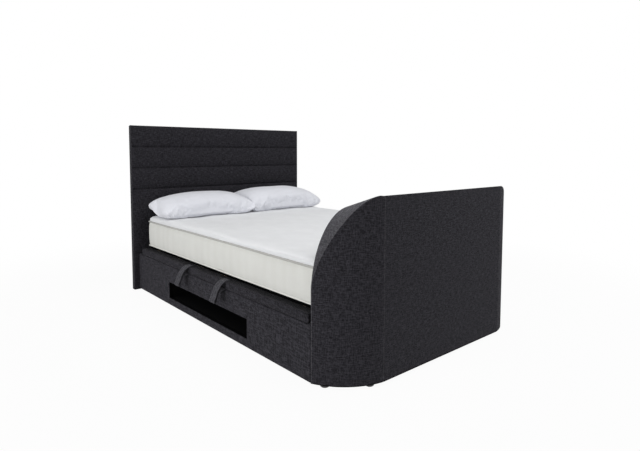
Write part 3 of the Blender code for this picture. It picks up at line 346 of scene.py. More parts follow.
@dataclass(frozen=True)
class Ticking(Finish):
    """Mattress cloth: a fine damask ground, with stripes where the border has them."""

    ground: Colour
    wave_depth: float
    stripe: Colour = (0.0, 0.0, 0.0)
    stripe_pitch: float = 0.0

    THREAD = 2 * math.pi / 0.0016
    STRIPE_SHARE = 0.36

    def material(self) -> Material:
        """Build the ticking.

        Returns:
            The material, which reads the piece's own cloth coordinates.
        """
        board = self.board()
        place = board.cloth_place()
        along, across, _ = board.parts(place)
        thread = (along * self.THREAD).sine() * (across * self.THREAD).sine()
        damask = board.noise(place, 210.0, 2.0)
        soft = board.noise(place, 9.0, 3.0, 0.55)
        relief = damask * 0.25 + soft * 2.0 + thread * 0.04
        share = soft.between(0.3, 0.7) * 0.5 + damask.between(0.35, 0.65) * 0.2
        colour = board.mix(share, self.ground, dimmed(self.ground, 0.93))
        if self.stripe_pitch:
            wander = board.noise(board.stretched(place, (7.0, 1.2, 1.0)), 1.0, 2.0)
            wave = (along * (2 * math.pi / self.stripe_pitch) + wander * 6.0).sine()
            band = wave.between(-0.7, 0.9) * board.noise(place, 3.0, 1.0).between(0.2, 0.6)
            colour = board.mix(band * self.STRIPE_SHARE, colour, self.stripe)
            relief = relief + band * 0.3
        return board.finish(Base_Color=colour, Roughness=0.86, Sheen_Weight=0.15,
                            Sheen_Roughness=0.5, Specular_IOR_Level=0.3,
                            Normal=board.bump(relief, self.wave_depth))


@dataclass(frozen=True)
class Cotton(Finish):
    """Smooth bed linen with soft creases."""

    colour: Colour
    crease_depth: float

    def material(self) -> Material:
        """Build the linen.

        Returns:
            The material, which reads the piece's own place.
        """
        board = self.board()
        place = board.object_place()
        crease = board.noise(board.stretched(place, (7.0, 13.0, 9.0)), 1.0, 4.0, 0.55)
        fold = 1.0 - abs(crease - 0.5).between(0.0, 0.12)
        relief = fold * 0.6 + crease * 1.2 + board.noise(place, 900.0, 2.0) * 0.05
        share = crease.between(0.35, 0.65) * 0.35
        colour = board.mix(share, self.colour, dimmed(self.colour, 0.95))
        return board.finish(Base_Color=colour, Roughness=0.82, Sheen_Weight=0.2,
                            Sheen_Roughness=0.4, Specular_IOR_Level=0.3,
                            Normal=board.bump(relief, self.crease_depth))


@dataclass(frozen=True)
class Wood(Finish):
    """Planed board with grain along one axis."""

    pale: Colour
    dark: Colour
    grain: Grain
    roughness: float = 0.6

    RINGS = 46.0
    GRAIN_DEPTH = 0.0003

    def material(self) -> Material:
        """Build the wood.

        Returns:
            The material, which reads the piece's own place.
        """
        board = self.board()
        place = board.stretched(board.object_place(), self.grain.value)
        rings = (board.noise(place, 1.1, 3.0, 0.6) * self.RINGS).sine() * 0.5 + 0.5
        fibre = board.noise(board.stretched(place, (2.0, 2.0, 2.0)), 14.0, 4.0, 0.7)
        share = rings * 0.45 + fibre.between(0.3, 0.75) * 0.55
        return board.finish(Base_Color=board.mix(share, self.pale, self.dark),
                            Roughness=fibre * 0.25 + (self.roughness - 0.12),
                            Specular_IOR_Level=0.35,
                            Normal=board.bump(fibre * 0.7 + rings * 0.3, self.GRAIN_DEPTH))


@dataclass(frozen=True)
class Plain(Finish):
    """Metal, board, rubber or moulded plastic with a fine surface texture."""

    colour: Colour
    roughness: float
    metallic: float = 0.0
    texture_scale: float = 600.0
    texture_depth: float = 0.0001
    tone_change: float = 0.15
    brushed: bool = False
    specular: float = 0.5

    def material(self) -> Material:
        """Build the material.

        Returns:
            The material, which reads the piece's own place.
        """
        board = self.board()
        place = board.object_place()
        stretch = (0.05, 1.0, 1.0) if self.brushed else (1.0, 1.0, 1.0)
        grit = board.noise(board.stretched(place, stretch), self.texture_scale, 3.0, 0.6)
        cloud = board.noise(place, 11.0, 3.0)
        colour = board.mix(cloud.between(0.3, 0.7) * 0.6 + grit * 0.4, self.colour,
                           dimmed(self.colour, 1.0 - self.tone_change))
        rough = self.roughness - 0.06 + grit * 0.08 + cloud * 0.04
        return board.finish(Base_Color=colour, Roughness=rough, Metallic=self.metallic,
                            Specular_IOR_Level=self.specular,
                            Normal=board.bump(grit, self.texture_depth))


COVER = Weave("charcoal_weave", dark=(0.0035, 0.0031, 0.0048), light=(0.058, 0.0555, 0.066),
              pitch=0.0024, depth=0.0010, slub_width=0.0050, slub_length=0.027, mottle_size=0.0056,
              fleck_share=0.45, sheen=0.14, sheen_tint=(0.5, 0.5, 0.55))
# painted highlight: a lighter copy of the cover for the wings' top strip and for edges that catch
# the light
PAINTED_HIGHLIGHT = replace(COVER, name="charcoal_weave_painted_highlight", dark=(0.030, 0.0295, 0.034),
               light=(0.122, 0.119, 0.132), sheen=0.25)
SIDE = replace(COVER, name="charcoal_weave_side", slub_width=0.0085, slub_length=0.042,
               mottle_size=0.0105, cloud_size=0.018)
# painted shadow: the lid's long rails, with the mattress's shadow painted along their inner ledge
LEDGE_PAINTED_SHADOW = replace(SIDE, name="charcoal_weave_ledge_painted_shadow", painted_shadow_edge=(0.681, 0.733))
# painted shade: a darker copy of the cover for the footboard's flat panels, whose faces turn from
# the lamps
PANEL_PAINTED_SHADE = replace(COVER, name="charcoal_weave_panel_painted_shade", light=(0.0535, 0.0512, 0.0612))
# painted shade: a darker copy of the cover for the headboard, whose face turns from the lamps
PAD_PAINTED_SHADE = replace(COVER, name="charcoal_weave_pad_painted_shade", dark=(0.0022, 0.0020, 0.0032),
              light=(0.0455, 0.0435, 0.0520), fleck_share=0.55)
STRAP_WEB = Weave("charcoal_webbing", dark=(0.020, 0.0195, 0.024), light=(0.098, 0.096, 0.107),
                  pitch=0.0017, depth=0.0007, slub_width=0.003, mottle_size=0.006,
                  fleck_share=0.3, sheen=0.35, sheen_tint=(0.5, 0.5, 0.55),
                  stitch_rows=(-0.0235, 0.0, 0.0235))
# partly real black cloth, partly painted shade: lines the media opening and darkens hems and the
# mattress's underside roll where shade falls
UNDERCLOTH_AND_PAINTED_SHADE = Weave("black_undercloth_and_painted_shade", dark=(0.0008, 0.0008, 0.0010),
                   light=(0.0028, 0.0028, 0.0034), pitch=0.0012, depth=0.0003, roughness=0.95,
                   specular=0.03)
BORDER = Ticking("ticking_border", (0.70, 0.702, 0.67), 0.0012, (0.64, 0.638, 0.60), 0.082)
TOP_PANEL = Ticking("ticking_top", (0.785, 0.795, 0.81), 0.0022)
PIPING = Ticking("ticking_piping", (0.45, 0.445, 0.425), 0.0006, (0.38, 0.375, 0.355), 0.004)
LOWER_PIPING = Ticking("ticking_lower_piping", (0.82, 0.815, 0.78), 0.0006,
                       (0.72, 0.715, 0.68), 0.004)
LINEN = Cotton("pillow_cotton", colour=(0.740, 0.750, 0.80), crease_depth=0.0028)
PLASTIC = Plain("black_plastic", (0.008, 0.008, 0.009), 0.42, texture_scale=900.0)
TIMBER = Wood("timber_across", (0.56, 0.40, 0.23), (0.38, 0.24, 0.12), Grain.ALONG_X)

CAD_FINISHES: dict[str, Finish] = {
    "black_board": Plain("black_board", (0.0022, 0.0022, 0.0026), 0.85, texture_scale=300.0,
                         specular=0.06),
    "timber": TIMBER,
    "timber_along": replace(TIMBER, name="timber_along", grain=Grain.ALONG_Y),
    "beech": Wood("beech", (0.70, 0.52, 0.33), (0.55, 0.37, 0.21), Grain.ALONG_X, 0.5),
    "hardboard": Plain("hardboard", (0.17, 0.105, 0.06), 0.78, texture_scale=420.0,
                       texture_depth=0.0002, tone_change=0.4),
    "black_steel": Plain("black_steel", (0.013, 0.013, 0.014), 0.42, texture_scale=1400.0,
                         texture_depth=0.00012),
    "bright_steel": Plain("bright_steel", (0.56, 0.56, 0.57), 0.32, metallic=1.0,
                          texture_scale=260.0, texture_depth=0.00003, brushed=True),
    "black_plastic": PLASTIC,
    "rubber": Plain("rubber", (0.012, 0.012, 0.012), 0.88, texture_scale=500.0),
}


def mesh_of(name: str, bm: Shape) -> bpy.types.Mesh:
    """Make a mesh of a shape.

    Args:
        name: the mesh's name.
        bm: the shape, which is freed.

    Returns:
        The mesh.
    """
    mesh = bpy.data.meshes.new(name)
    bm.to_mesh(mesh)
    bm.free()
    return mesh


def in_scene(name: str, data: bpy.types.ID) -> Object:
    """Put an object in the scene.

    Args:
        name: the object's name.
        data: its mesh, lamp or camera.

    Returns:
        The object.
    """
    obj = bpy.data.objects.new(name, data)
    bpy.context.scene.collection.objects.link(obj)
    return obj


class Workshop:
    """Turns finished shapes into pieces that ride on the bed's bodies."""

    def __init__(self) -> None:
        """Start with no material made."""
        self._materials: dict[str, Material] = {}

    def material(self, finish: Finish) -> Material:
        """The material of a finish, made once."""
        if finish.name not in self._materials:
            self._materials[finish.name] = finish.material()
        return self._materials[finish.name]

    def piece(self, name: str, bm: Shape, finishes: Sequence[Finish], body: str, slot: str,
              node: Optional[str] = None, even_normals: bool = True) -> Object:
        """Make an object of a shape, dress it and let it ride.

        Args:
            name: the piece's name.
            bm: its shape, in the bed's own frame; it is freed.
            finishes: the finishes, in the order of the faces' material numbers.
            body: the body that it rides on.
            slot: the record's material slot; not used.
            node: the CAD node that it replaces.
            even_normals: whether broad flat faces keep their shading flat.

        Returns:
            The object.
        """
        if bm.calc_volume(signed=True) < 0:
            bmesh.ops.reverse_faces(bm, faces=bm.faces)
        for face in bm.faces:
            face.smooth = True
        obj = in_scene(name, mesh_of(name, bm))
        for finish in finishes:
            obj.data.materials.append(self.material(finish))
        if even_normals:
            obj.modifiers.new("even", "WEIGHTED_NORMAL").keep_sharp = True
        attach(obj, body)
        if node:
            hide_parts(node)
        log.info("%s: %d faces on %s", name, len(obj.data.polygons), body)
        return obj

    def dress_cad(self) -> None:
        """Give every CAD node that still shows the finish of its slot."""
        slots = {part["node"]: part["material_slot"] for part in frame["record"]["subparts"]}
        for name, obj in frame["nodes"].items():
            key = "timber_along" if name.startswith("slat_ledge") else slots.get(name)
            if not obj.hide_render and key in CAD_FINISHES:
                obj.data.materials.clear()
                obj.data.materials.append(self.material(CAD_FINISHES[key]))
                log.info("%s wears %s", name, key)


@dataclass
class Assembly:
    """A sub-assembly of the bed, with the steps that its shapes share."""

    shop: Workshop

    SHARP = math.radians(32)
    LEVEL = 0.65
    MERGED = 0.00002

    @staticmethod
    def block(low: Sequence[float], high: Sequence[float]) -> Shape:
        """A box between two corners.

        Args:
            low: its lowest corner.
            high: its highest one.

        Returns:
            The shape.
        """
        low, high = Vector(low), Vector(high)
        bm = bmesh.new()
        bmesh.ops.create_cube(bm, size=1)
        bmesh.ops.scale(bm, vec=high - low, verts=bm.verts)
        bmesh.ops.translate(bm, vec=(high + low) / 2, verts=bm.verts)
        return bm

    @classmethod
    def round_sharp(cls, bm: Shape, radius: float, segments: int = 3,
                    test: Callable[[Vector], bool] = lambda middle: True) -> None:
        """Bevel the edges that turn sharply.

        Args:
            bm: the shape.
            radius: the rounding.
            segments: facets across it.
            test: says of an edge's middle whether it is rounded.
        """
        bm.normal_update()
        sharp = [edge for edge in bm.edges
                 if len(edge.link_faces) == 2 and edge.calc_face_angle(0.0) > cls.SHARP
                 and test((edge.verts[0].co + edge.verts[1].co) / 2)]
        bmesh.ops.bevel(bm, geom=sharp, offset=radius, offset_type="OFFSET", segments=segments,
                        profile=0.5, affect="EDGES", material=-1, clamp_overlap=True)

    @staticmethod
    def cut(bm: Shape, place: Sequence[float], normal: Place) -> None:
        """Cut all faces along a plane, and keep both sides."""
        bmesh.ops.bisect_plane(bm, geom=bm.verts[:] + bm.edges[:] + bm.faces[:], plane_co=place,
                               plane_no=normal)

    @classmethod
    def hem(cls, bm: Shape, level: float) -> None:
        """Finish a cover in its second material below a level."""
        cls.cut(bm, (0, 0, level), (0, 0, 1))
        for face in bm.faces:
            if face.calc_center_median().z < level:
                face.material_index = 1

    @staticmethod
    def draw_out(bm: Shape, rim: list[Edge]) -> tuple[list[Vert], list[Face], list[Edge]]:
        """Extrude an open rim.

        Args:
            bm: the shape.
            rim: the open edges.

        Returns:
            The new points, the new faces and the new rim.
        """
        grown = bmesh.ops.extrude_edge_only(bm, edges=rim)["geom"]
        verts, faces, edges = ([item for item in grown if isinstance(item, kind)]
                               for kind in (Vert, Face, Edge))
        return verts, faces, [edge for edge in edges if edge.is_boundary]

    @staticmethod
    def ring(bm: Shape, points: Sequence[Place]) -> list[Edge]:
        """A closed ring of edges through some points."""
        verts = [bm.verts.new(point) for point in points]
        return [bm.edges.new(pair) for pair in zip(verts, verts[1:] + verts[:1])]

    @staticmethod
    def skin(bm: Shape, rings: list[list[Edge]], lengths: list[float],
             across: Callable[[Vector], float]) -> None:
        """Skin a row of rings, with cloth coordinates along it.

        Args:
            bm: the shape that has the rings.
            rings: the rings in their order.
            lengths: each one's distance along the row.
            across: gives a point's place across the cloth.
        """
        layer = bm.loops.layers.uv.new("cloth")
        for index, (first, second) in enumerate(zip(rings, rings[1:])):
            near = {vert for edge in first for vert in edge.verts}
            for face in bmesh.ops.bridge_loops(bm, edges=first + second)["faces"]:
                for loop in face.loops:
                    length = lengths[index if loop.vert in near else index + 1]
                    loop[layer].uv = (length, across(loop.vert.co))

    @classmethod
    def lay_cloth(cls, bm: Shape, arc: Optional[tuple[Vector, float]] = None) -> None:
        """Give every face cloth coordinates in metres, laid flat from its main direction.

        Args:
            bm: the shape.
            arc: centre and radius of a rounded corner, whose cloth runs round it.
        """
        layer = bm.loops.layers.uv.new("cloth")
        bm.normal_update()
        for face in bm.faces:
            normal = face.normal
            for loop in face.loops:
                x, y, z = loop.vert.co
                if abs(normal.z) > cls.LEVEL:
                    loop[layer].uv = (x, y)
                elif arc is not None and normal.y < 0.5:
                    centre, radius = arc
                    turn = math.atan2(x - centre.x, centre.y - y)
                    loop[layer].uv = (centre.x + radius * turn, z)
                elif abs(normal.x) > abs(normal.y):
                    loop[layer].uv = (y, z)
                else:
                    loop[layer].uv = (x, z)

    @staticmethod
    def uneven(x: float, y: float, grain: Pair, seed: float) -> float:
        """Soft unevenness from -1 to 1, with so many folds in a metre each way."""
        return noise.noise(Vector((x * grain[0], y * grain[1], seed)))

    @staticmethod
    def eased(place: float) -> float:
        """A grid's place from -1 to 1, moved so that the lines stand closer at both ends."""
        return math.sin(place * math.pi / 2)

    @staticmethod
    def share_of(way: float, whole: float) -> float:
        """Share of the whole that a way is, kept between 0 and 1."""
        return min(max(way / whole, 0.0), 1.0)


HEM = 0.0045
# How far the black hem of a cover reaches below its board; the hem also stands in as painted shade
# along the cover's bottom edge.
"""How far the black hem of a cover reaches below its board."""
NEAR = 0.001
"""How near a plane counts as on it."""
CLOTH = "charcoal_weave"


@dataclass
class Headboard(Assembly):
    """Tall headboard: a covered frame with a pad sewn across in channels."""

    channel_height: float = 0.155
    channels: int = 3
    roll_depth: float = 0.013
    roll_power: float = 2.5
    seam_depth: float = 0.010
    seam_power: float = 22.0
    border_power: float = 90.0
    border_depth: float = 0.004
    rows: int = 20
    columns: int = 72
    corner: float = 0.007
    pucker: float = 0.0011
    proud: float = 0.007

    def build(self) -> None:
        """Build the frame and the pad."""
        bm = self.block(*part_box("headboard_frame"))
        self.round_sharp(bm, self.corner)
        self.lay_cloth(bm)
        self.shop.piece("headboard_cover", bm, [PAD_PAINTED_SHADE], "frame", CLOTH, "headboard_frame")
        pad = self.shop.piece("headboard_channels", self.pad_shape(), [PAD_PAINTED_SHADE], "frame", CLOTH,
                              "headboard_pad", even_normals=False)

    def pad_shape(self) -> Shape:
        """The channelled pad, its rolls full and its seams pulled in.

        Returns:
            The shape.
        """
        low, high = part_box("headboard_pad")
        seams = [low.z] + [high.z - (self.channels - index) * self.channel_height
                           for index in range(self.channels + 1)]
        spans = len(seams) - 1
        bm = bmesh.new()
        bmesh.ops.create_grid(bm, x_segments=self.columns, y_segments=self.rows * spans, size=1)
        for vert in bm.verts:
            across = self.eased(vert.co.x)
            row = round((vert.co.y + 1) / 2 * self.rows * spans)
            span = min(row // self.rows, spans - 1)
            share = (1 - math.cos((row / self.rows - span) * math.pi)) / 2
            bottom, top = seams[span], seams[span + 1]
            x = across * ((high.x - low.x) / 2 + self.proud)
            z = bottom + (top - bottom) * share
            from_seam = min(top - z, z - bottom if span else self.channel_height)
            off_middle = 1 - 2 * min(from_seam / self.channel_height, 0.5)
            border = abs(across) ** self.border_power
            depth = self.fold(x, z, off_middle) * (1 - border) + self.border_depth * border
            vert.co = (x, low.y + depth + self.pucker, z)
        verts, _, back = self.draw_out(bm, [edge for edge in bm.edges if edge.is_boundary])
        for vert in verts:
            vert.co.y = high.y
        bmesh.ops.contextual_create(bm, geom=back)
        bmesh.ops.recalc_face_normals(bm, faces=bm.faces)
        self.round_sharp(bm, self.corner / 2, 2, lambda middle: middle.y < high.y - self.corner)
        self.lay_cloth(bm)
        return bm

    def fold(self, x: float, z: float, off_middle: float) -> float:
        """How far the pad's front lies back from its fullest.

        Args:
            x: place across the bed.
            z: height.
            off_middle: share of the way from a roll's middle to its seam.

        Returns:
            The depth.
        """
        roll = 1 - off_middle ** self.roll_power
        seam = off_middle ** self.seam_power
        ripple = self.uneven(x, z, (26, 3), 1.7) * (1 - roll) * roll * 4 * self.pucker
        sag = self.uneven(x, z, (4, 6), 5.1) * self.pucker * roll
        return self.roll_depth * (1 - roll) + self.seam_depth * seam + ripple + sag


class Panel(Enum):
    """The footboard's flat pieces: outer face to the foot, outer face to the bed, or the cap."""

    BACK = "back"
    FRONT = "front"
    CAP = "cap"


@dataclass
class Footboard(Assembly):
    """Deep footboard: two rounded wings, a back panel, a front panel and the cap of the slot."""

    wing_radius: float = 0.327
    shoulder_width: float = 0.235
    shoulder_drop: float = 0.376
    height: float = 0.836
    top_fall: float = 0.060
    wall: float = 0.021
    shoulder_steps: int = 48
    least_depth: float = 0.003
    rim_radius: float = 0.0035
    seam_radius: float = 0.0026
    fullness: Pair = (0.0032, 0.0010)
    fullness_start: Pair = (0.004, 0.020)
    fullness_end: Pair = (0.09, 0.10)
    painted_highlight_rows: int = 4
    glide_share: float = 1.3
    _limits: tuple[Vector, Vector] = field(init=False)

    ROUNDING_STEPS = 4
    ABOVE_BASE = NEAR_END = 0.3
    MIDDLE = 0.01
    SPIN_STEPS = 40
    GLIDE_PROFILE = ((0.0, 1.0), (0.99, 1.0), (1.0, 0.86), (1.0, 0.62), (0.93, 0.56),
                     (0.93, 0.30), (0.88, 0.12), (0.76, 0.0), (0.0, 0.0))

    def build(self) -> None:
        """Build the wings, the panels, the cap and the glides."""
        self._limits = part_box("footboard_wing_left")
        for side in Side:
            title = side.name.lower()
            centre = self.arc_centre()
            bm = self.wing_shape(side)
            self.hem(bm, self._limits[0].z)
            self.lay_cloth(bm, (Vector((-side.value * centre.x, centre.y)), self.wing_radius))
            self.shop.piece(f"footboard_corner_{title}", bm, [COVER, UNDERCLOTH_AND_PAINTED_SHADE, PAINTED_HIGHLIGHT], "frame",
                            CLOTH, f"footboard_wing_{title}")
        self.panel("footboard_back_cover", "footboard_back_panel", "frame", Panel.BACK)
        self.panel("footboard_front_cover", "footboard_front_panel", "frame", Panel.FRONT)
        self.panel("slot_cap_cover", "television_cap", "lift_carriage", Panel.CAP)
        for title in ("left_front", "left_back", "right_front", "right_back"):
            self.glide(f"moulded_glide_{title}", f"footboard_glide_{title}")

    def arc_centre(self) -> Vector:
        """Centre of the left wing's arc in plan.

        Returns:
            The centre, at the wing's radius from both ends of its arc.
        """
        low, high = self._limits
        outer = Vector((low.x, high.y))
        inner = Vector((high.x, low.y))
        chord = inner - outer
        across = Vector((-chord.y, chord.x)).normalized()
        reach = math.sqrt(self.wing_radius ** 2 - (chord.length / 2) ** 2)
        return (outer + inner) / 2 + across * reach

    def top(self, x: float, y: float) -> tuple[float, Vector]:
        """Height and direction of the footboard's top over a point of its plan.

        Args:
            x: place across the bed.
            y: place along it.

        Returns:
            The height and the outward direction.
        """
        low, high = self._limits
        start = -low.x - self.shoulder_width
        share = self.share_of(abs(x) - start, self.shoulder_width)
        rise = math.sqrt(1 - share ** 2)
        fall = self.top_fall / (high.y - low.y)
        height = self.height - self.shoulder_drop * (1 - rise) - fall * (y - low.y)
        lean = self.shoulder_drop / self.shoulder_width * share
        return height, Vector((math.copysign(lean, x), fall * rise, rise)).normalized()

    def fillet(self, corner: Vector, first: Vector, second: Vector, radius: float) -> list[Vector]:
        """Points round a corner between two faces.

        Args:
            corner: where the faces would meet.
            first: direction of the first face.
            second: direction of the second one.
            radius: rounding.

        Returns:
            The points, from the first face to the second.
        """
        centre = corner - (first + second) * (radius / (1 + first.dot(second)))
        return [centre + radius * first.slerp(second, step / self.ROUNDING_STEPS)
                for step in range(self.ROUNDING_STEPS + 1)]

    def section(self, x: float, inset: float, rounding: float, fullness: float) -> list[Vector]:
        """Points of a wing over one place across the bed, from its front's foot to its arc's.

        Args:
            x: place across the bed, on its left side.
            inset: distance in from the outer faces.
            rounding: radius of the two upper edges.
            fullness: height of the padding over the arc's edge.

        Returns:
            The points.
        """
        low, high = self._limits
        centre = self.arc_centre()
        front = high.y - inset
        reach = math.sqrt(max((self.wing_radius - inset) ** 2 - (x - centre.x) ** 2, 0.0))
        back = min(centre.y - reach, front - self.least_depth)
        radius = min(rounding, 0.4 * (front - back))
        foot = low.z - HEM
        height, upward = self.top(x - inset, front)
        corner = Vector((x, front, height - inset))
        over_front = self.fillet(corner, Vector((0, 1, 0)), upward, radius)
        height, upward = self.top(x - inset, back)
        corner = Vector((x, back, height - inset))
        corner.z += fullness * self.swell(x)
        outwards = Vector((x - centre.x, back - centre.y, 0)).normalized()
        over_back = self.fillet(corner, upward, outwards, radius)
        return [Vector((x, front, foot)), *over_front, *over_back, Vector((x, back, foot))]

    def swell(self, x: float) -> float:
        """Share of the padding's fullness over the arc's edge.

        Args:
            x: place across the bed, on its left side.

        Returns:
            The share.
        """
        from_seam = self._limits[1].x - x
        shares = [self.share_of(from_seam - start, width)
                  for start, width in (self.fullness_start, self.fullness_end)]
        grown, gone = (share * share * (3 - 2 * share) for share in shares)
        return grown * (1 - gone)

    def wing_skin(self, bm: Shape, side: Side, inset: float, rounding: float) -> list[Edge]:
        """One skin of a wing, open at the bottom.

        Args:
            bm: takes the faces.
            side: the side of the bed.
            inset: distance in from the outer faces.
            rounding: radius of the upper edges.

        Returns:
            The edges round its open bottom.
        """
        _, high = self._limits
        centre = self.arc_centre()
        reach = self.wing_radius - inset
        depth = centre.y - high.y + inset + self.least_depth
        outer = centre.x - math.sqrt(reach ** 2 - depth ** 2)
        seam = high.x - inset
        width = self.shoulder_width - inset
        steps = self.shoulder_steps
        places = [(outer + width * (1 - math.cos(math.pi / 2 * step / steps)), inset)
                  for step in range(steps + 1)]
        places = [place for place in places if place[0] < seam - 3 * self.seam_radius]
        places += [(seam - share * self.seam_radius, inset + drawn * self.seam_radius)
                   for share, drawn in ((1.0, 0.0), (0.3, 0.3), (0.0, 1.0))]
        sections = [self.section(place, drawn, rounding, side.pick(self.fullness))
                    for place, drawn in places]
        spans, turns = len(sections) - 1, len(sections[0]) - 1
        rows = [[None] * (turns + 1) for _ in sections]
        grid = bmesh.ops.create_grid(bm, x_segments=spans, y_segments=turns, size=1)["verts"]
        for vert in grid:
            span, turn = round((vert.co.x + 1) / 2 * spans), round((vert.co.y + 1) / 2 * turns)
            point = sections[span][turn]
            vert.co = (-side.value * point.x, point.y, point.z)
            rows[span][turn] = vert
        # painted highlight: the top strip between the two roundings and the first rows at the outer
        # end take the lighter copy
        skipped = self.ROUNDING_STEPS // 2 + 1
        bright = {vert for row in rows for vert in row[skipped:-skipped]}
        bright.update(vert for row in rows[:self.painted_highlight_rows] for vert in row)
        for face in {face for vert in grid for face in vert.link_faces}:
            if bright.issuperset(face.verts):
                face.material_index = 2
        bm.faces.new(rows[0])
        bm.faces.new(list(reversed(rows[-1])))
        feet = [row[0] for row in rows] + [row[-1] for row in reversed(rows)]
        return [bm.edges.get((start, stop)) for start, stop in zip(feet, feet[1:] + feet[:1])]

    def wing_shape(self, side: Side) -> Shape:
        """A wing: an outer and an inner skin, joined round the bottom.

        Args:
            side: the side of the bed.

        Returns:
            The shape.
        """
        bm = bmesh.new()
        outer = self.wing_skin(bm, side, 0.0, self.rim_radius)
        inner = self.wing_skin(bm, side, self.wall, self.seam_radius)
        bmesh.ops.bridge_loops(bm, edges=outer + inner)
        bmesh.ops.recalc_face_normals(bm, faces=bm.faces)
        return bm

    def panel(self, name: str, node: str, body: str, kind: Panel) -> None:
        """An upright panel, or the cap, whose top follows the fall from back to front.

        Args:
            name: the piece's name.
            node: the CAD node that it covers.
            body: the body that it rides on.
            kind: which of the flat pieces it is.
        """
        low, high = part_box(node)
        middle = (low + high) / 2
        is_cap = kind is Panel.CAP
        bm = self.block(low if is_cap else (low.x, low.y, low.z - HEM), high)
        drop = self.top_fall * (high.y - low.y) / (self._limits[1].y - self._limits[0].y)
        for vert in bm.verts:
            in_front, upper = vert.co.y > middle.y, vert.co.z > middle.z
            if in_front and upper:
                vert.co.z -= drop
            elif is_cap and not in_front and not upper:
                vert.co.z += drop
        if not is_cap:
            outer = low.y if kind is Panel.BACK else high.y
            self.round_sharp(bm, self.rim_radius, 4, lambda place: abs(place.x) < self.MIDDLE
                             and place.z > self.ABOVE_BASE and abs(place.y - outer) < NEAR)
        self.round_sharp(bm, self.seam_radius, 2, lambda place: is_cap
                         or abs(place.x) > self.NEAR_END or place.z > self.ABOVE_BASE)
        if not is_cap:
            self.hem(bm, low.z)
        bm.normal_update()
        # painted highlight: faces at the seam that turn towards the foot take the lighter copy
        for face in bm.faces:
            at_seam = abs(face.calc_center_median().x) > high.x - self.seam_radius
            if face.normal.y < -0.2 and at_seam:
                face.material_index = 2
        self.lay_cloth(bm)
        self.shop.piece(name, bm, [PANEL_PAINTED_SHADE, UNDERCLOTH_AND_PAINTED_SHADE, PAINTED_HIGHLIGHT], body, CLOTH, node)

    def glide(self, name: str, node: str) -> None:
        """A moulded glide with a rounded foot and a collar.

        Args:
            name: the piece's name.
            node: the CAD node whose place it takes.
        """
        low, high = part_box(node)
        radius = (high.x - low.x) / 2 * self.glide_share
        bm = bmesh.new()
        verts = [bm.verts.new((radius * out, 0, high.z * up)) for out, up in self.GLIDE_PROFILE]
        edges = [bm.edges.new(pair) for pair in zip(verts, verts[1:])]
        bmesh.ops.spin(bm, geom=verts + edges, cent=(0, 0, 0), axis=(0, 0, 1), angle=2 * math.pi,
                       steps=self.SPIN_STEPS, use_merge=True)
        bmesh.ops.remove_doubles(bm, verts=bm.verts, dist=self.MERGED)
        bmesh.ops.recalc_face_normals(bm, faces=bm.faces)
        middle = (low + high) / 2
        bmesh.ops.translate(bm, vec=(middle.x, middle.y, 0), verts=bm.verts)
        self.shop.piece(name, bm, [PLASTIC], "frame", "black_plastic", node)


@dataclass
class Base(Assembly):
    """Covered sides of the storage base and of the lid that closes it."""

    corner: float = 0.006
    opening_corner: float = 0.003
    opening: tuple[Pair, Pair] = ((-0.413, 0.528), (0.065, 0.167))

    def build(self) -> None:
        """Build both side panels and the four rails of the lid."""
        self.shop.piece("side_cover_left", self.open_side(), [SIDE, UNDERCLOTH_AND_PAINTED_SHADE], "frame", CLOTH,
                        "side_panel_left")
        self.covered("side_cover_right", "side_panel_right", "frame", SIDE, HEM)
        for title, finish in (("left", LEDGE_PAINTED_SHADOW), ("right", LEDGE_PAINTED_SHADOW), ("foot", COVER), ("head", COVER)):
            self.covered(f"lid_cover_{title}", f"lid_rail_{title}", "lid", finish)

    def covered(self, name: str, node: str, body: str, finish: Weave, hem: float = 0.0) -> None:
        """A covered board with rounded edges, in the place of a node.

        Args:
            name: the piece's name.
            node: the CAD node that it covers.
            body: the body that it rides on.
            finish: its cloth.
            hem: how far it reaches below its board.
        """
        low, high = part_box(node)
        bm = self.block((low.x, low.y, low.z - hem), high)
        self.round_sharp(bm, self.corner)
        if hem:
            self.hem(bm, low.z)
        self.lay_cloth(bm)
        self.shop.piece(name, bm, [finish, UNDERCLOTH_AND_PAINTED_SHADE], body, CLOTH, node)

    def open_side(self) -> Shape:
        """The left side with the media opening cut through it.

        Returns:
            The shape.
        """
        low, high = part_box("side_panel_left")
        (foot, head), (bottom, top) = self.opening
        low.z -= HEM
        bm = self.block(low, high)
        for y in (foot, head):
            self.cut(bm, (0, y, 0), (0, 1, 0))
        for z in (bottom, top):
            self.cut(bm, (0, 0, z), (0, 0, 1))

        def in_opening(place: Vector) -> bool:
            """Whether a place is in the opening or on its edge."""
            return foot - NEAR < place.y < head + NEAR and bottom - NEAR < place.z < top + NEAR

        def at_end(place: Vector) -> bool:
            """Whether an edge is on the side's outline."""
            return (place.z > high.z - NEAR or place.z < low.z + NEAR
                    or place.y > high.y - NEAR or place.y < low.y + NEAR)

        holes = [face for face in bm.faces
                 if abs(face.normal.x) > 0.9 and in_opening(face.calc_center_median())]
        rims = [edge for face in holes for edge in face.edges]
        bmesh.ops.delete(bm, geom=holes, context="FACES_ONLY")
        # painted shade: the opening's inner faces take the black cloth
        for face in bmesh.ops.bridge_loops(bm, edges=rims)["faces"]:
            face.material_index = 1
        bmesh.ops.recalc_face_normals(bm, faces=bm.faces)
        self.round_sharp(bm, self.opening_corner, 3, in_opening)
        self.round_sharp(bm, self.corner, 3, at_end)
        self.hem(bm, low.z + HEM)
        self.lay_cloth(bm)
        return bm


